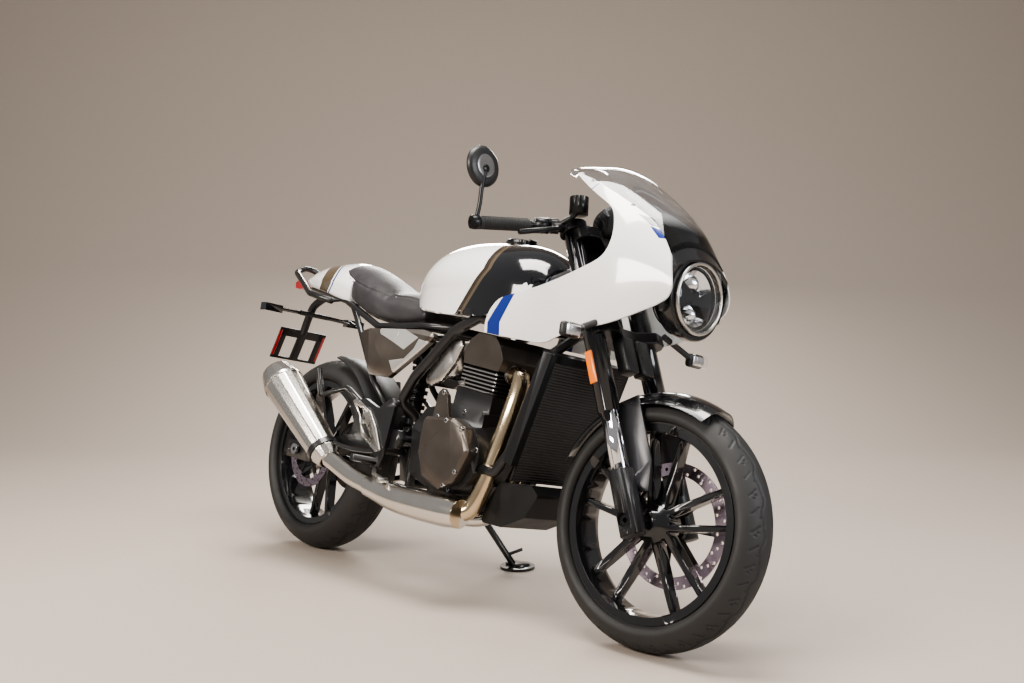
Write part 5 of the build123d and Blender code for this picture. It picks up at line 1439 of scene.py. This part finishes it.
rides("chassis", tube("plate_carrier_arm", arm_route, 13.5, plastic_black))
rides("chassis", tube("rear_indicator_bar", [(-236, y, 760) for y in (-56, 0, 56)], 8.5, plastic_black))

# %% [markdown]
# The muffler is a stack of straight facets. The same lathe makes it with only sixteen sides, and its
# corners are softened with a bevel. A strap and a seam go round it, and a hanger carries it.

# %% Muffler
length = (MUFFLER_HIGH - MUFFLER_LOW).length
can_profile = (
    (-5.0, 30.0), (-4.0, 35.0), (26.0, 45.6), (30.0, 46.4), (length * 0.85, 62.8), (length * 0.865, 62.8),
    (length - 4.0, 49.4), (length - 1.0, 46.0), (length - 1.0, 27.0), (length - 42.0, 25.6),
    (length - 42.0, 0.6),
)
can = lathe("muffler_can", can_profile, brushed, segments=16, angle=8)
modified(can, "BEVEL", width=3.4, segments=3, limit_method="ANGLE", angle_limit=radians(14))
bpy.ops.object.shade_smooth_by_angle(angle=radians(15))
stands_for(settle(can, MUFFLER_LOW, muffler_axis), "muffler")
strap_profile = ((28.0, 47.0), (28.0, 49.6), (46.0, 49.9), (46.0, 48.0))
strap = turned("muffler_strap", strap_profile, frame_black, MUFFLER_LOW, muffler_axis)
seam_profile = [(length * part, radius) for part, radius in (
    (0.838, 61.0), (0.838, 63.9), (0.85, 64.2), (0.862, 63.9), (0.862, 61.0))]
seam = turned("muffler_cap_seam", seam_profile, brushed, MUFFLER_LOW, muffler_axis, segments=96)
hanger_start = MUFFLER_LOW + muffler_axis * 37 + Vector((0, 0, 38))
hanger = tube("muffler_hanger", (hanger_start, (330, -168, 330), (430, -143, 344)), 6.8, frame_black)
rides("chassis", strap, seam, hanger)

# %% [markdown]
# The seat is foam under vinyl, so its shape is simulated. The loft is rebuilt as an even skin of small
# faces and inflated as cloth with gravity off. How far a point may move is capped, so the pad swells but
# keeps its outline. The seam where the top panel meets the sides is pressed in afterwards, with a raised
# welt beside it.

# %% Seat pad
SEAT_CELL, SEAT_SWELL, SEAT_PRESSURE, SEAT_FRAMES = 0.006, 0.006, 4.0, 20
SEAM_STATIONS = (
    (-20, 893), (27, 908), (119, 862), (211, 834), (275, 820), (329, 815), (384, 812), (452, 800),
    (520, 784),
)
SEAM_REACH, SEAM_FROM_MIDDLE = 9.0, 24.0
SEAM_DEPTH, SEAM_HALF_WIDTH = 2.4, 3.6
WELT_HEIGHT, WELT_HALF_WIDTH, WELT_ABOVE = 0.9, 3.0, 6.0


def seam_height(x):
    """The height of the seat's seam at a place along it."""
    for (ax, az), (bx, bz) in zip(SEAM_STATIONS, SEAM_STATIONS[1:]):
        if x <= bx:
            return az + (bz - az) * max(0.0, (x - ax) / (bx - ax))
    return SEAM_STATIONS[-1][1]


modified(pad, "REMESH", mode="VOXEL", voxel_size=SEAT_CELL)
start = [v.co.copy() for v in pad.data.vertices]
cloth = pad.modifiers.new("swell", "CLOTH")
cloth.settings.use_pressure = True
cloth.settings.uniform_pressure_force = SEAT_PRESSURE
cloth.settings.effector_weights.gravity = 0.0
cloth.settings.quality = 6
for frame_number in range(1, SEAT_FRAMES + 1):
    scene.frame_set(frame_number)
swollen = pad.evaluated_get(bpy.context.evaluated_depsgraph_get())
moved = [v.co.copy() for v in swollen.data.vertices]
pad.modifiers.remove(cloth)
for v, before, after in zip(pad.data.vertices, start, moved):
    step = after - before
    v.co = before + step * min(1.0, SEAT_SWELL / max(step.length, 1e-9))
scene.frame_set(1)
modified(pad, "SMOOTH", factor=0.5, iterations=6)
modified(pad, "SUBSURF", levels=1, render_levels=1)

home = upright_to_frame.inverted()
pressed = 0
for v in pad.data.vertices:
    spot = home @ v.co
    away = spot.z - seam_height(spot.x)
    if abs(away) < SEAM_REACH and abs(spot.y) > SEAM_FROM_MIDDLE:
        inward = Vector((0, -1 if spot.y > 0 else 1, -0.3)).normalized()
        groove = SEAM_DEPTH * max(0.0, 1 - abs(away) / SEAM_HALF_WIDTH)
        welt = WELT_HEIGHT * max(0.0, 1 - abs(away - WELT_ABOVE) / WELT_HALF_WIDTH)
        v.co = upright_to_frame @ (spot + inward * (groove - welt))
        pressed += 1
bpy.ops.object.shade_smooth()
print("seat:", len(pad.data.polygons), "faces,", pressed, "points at the seam")
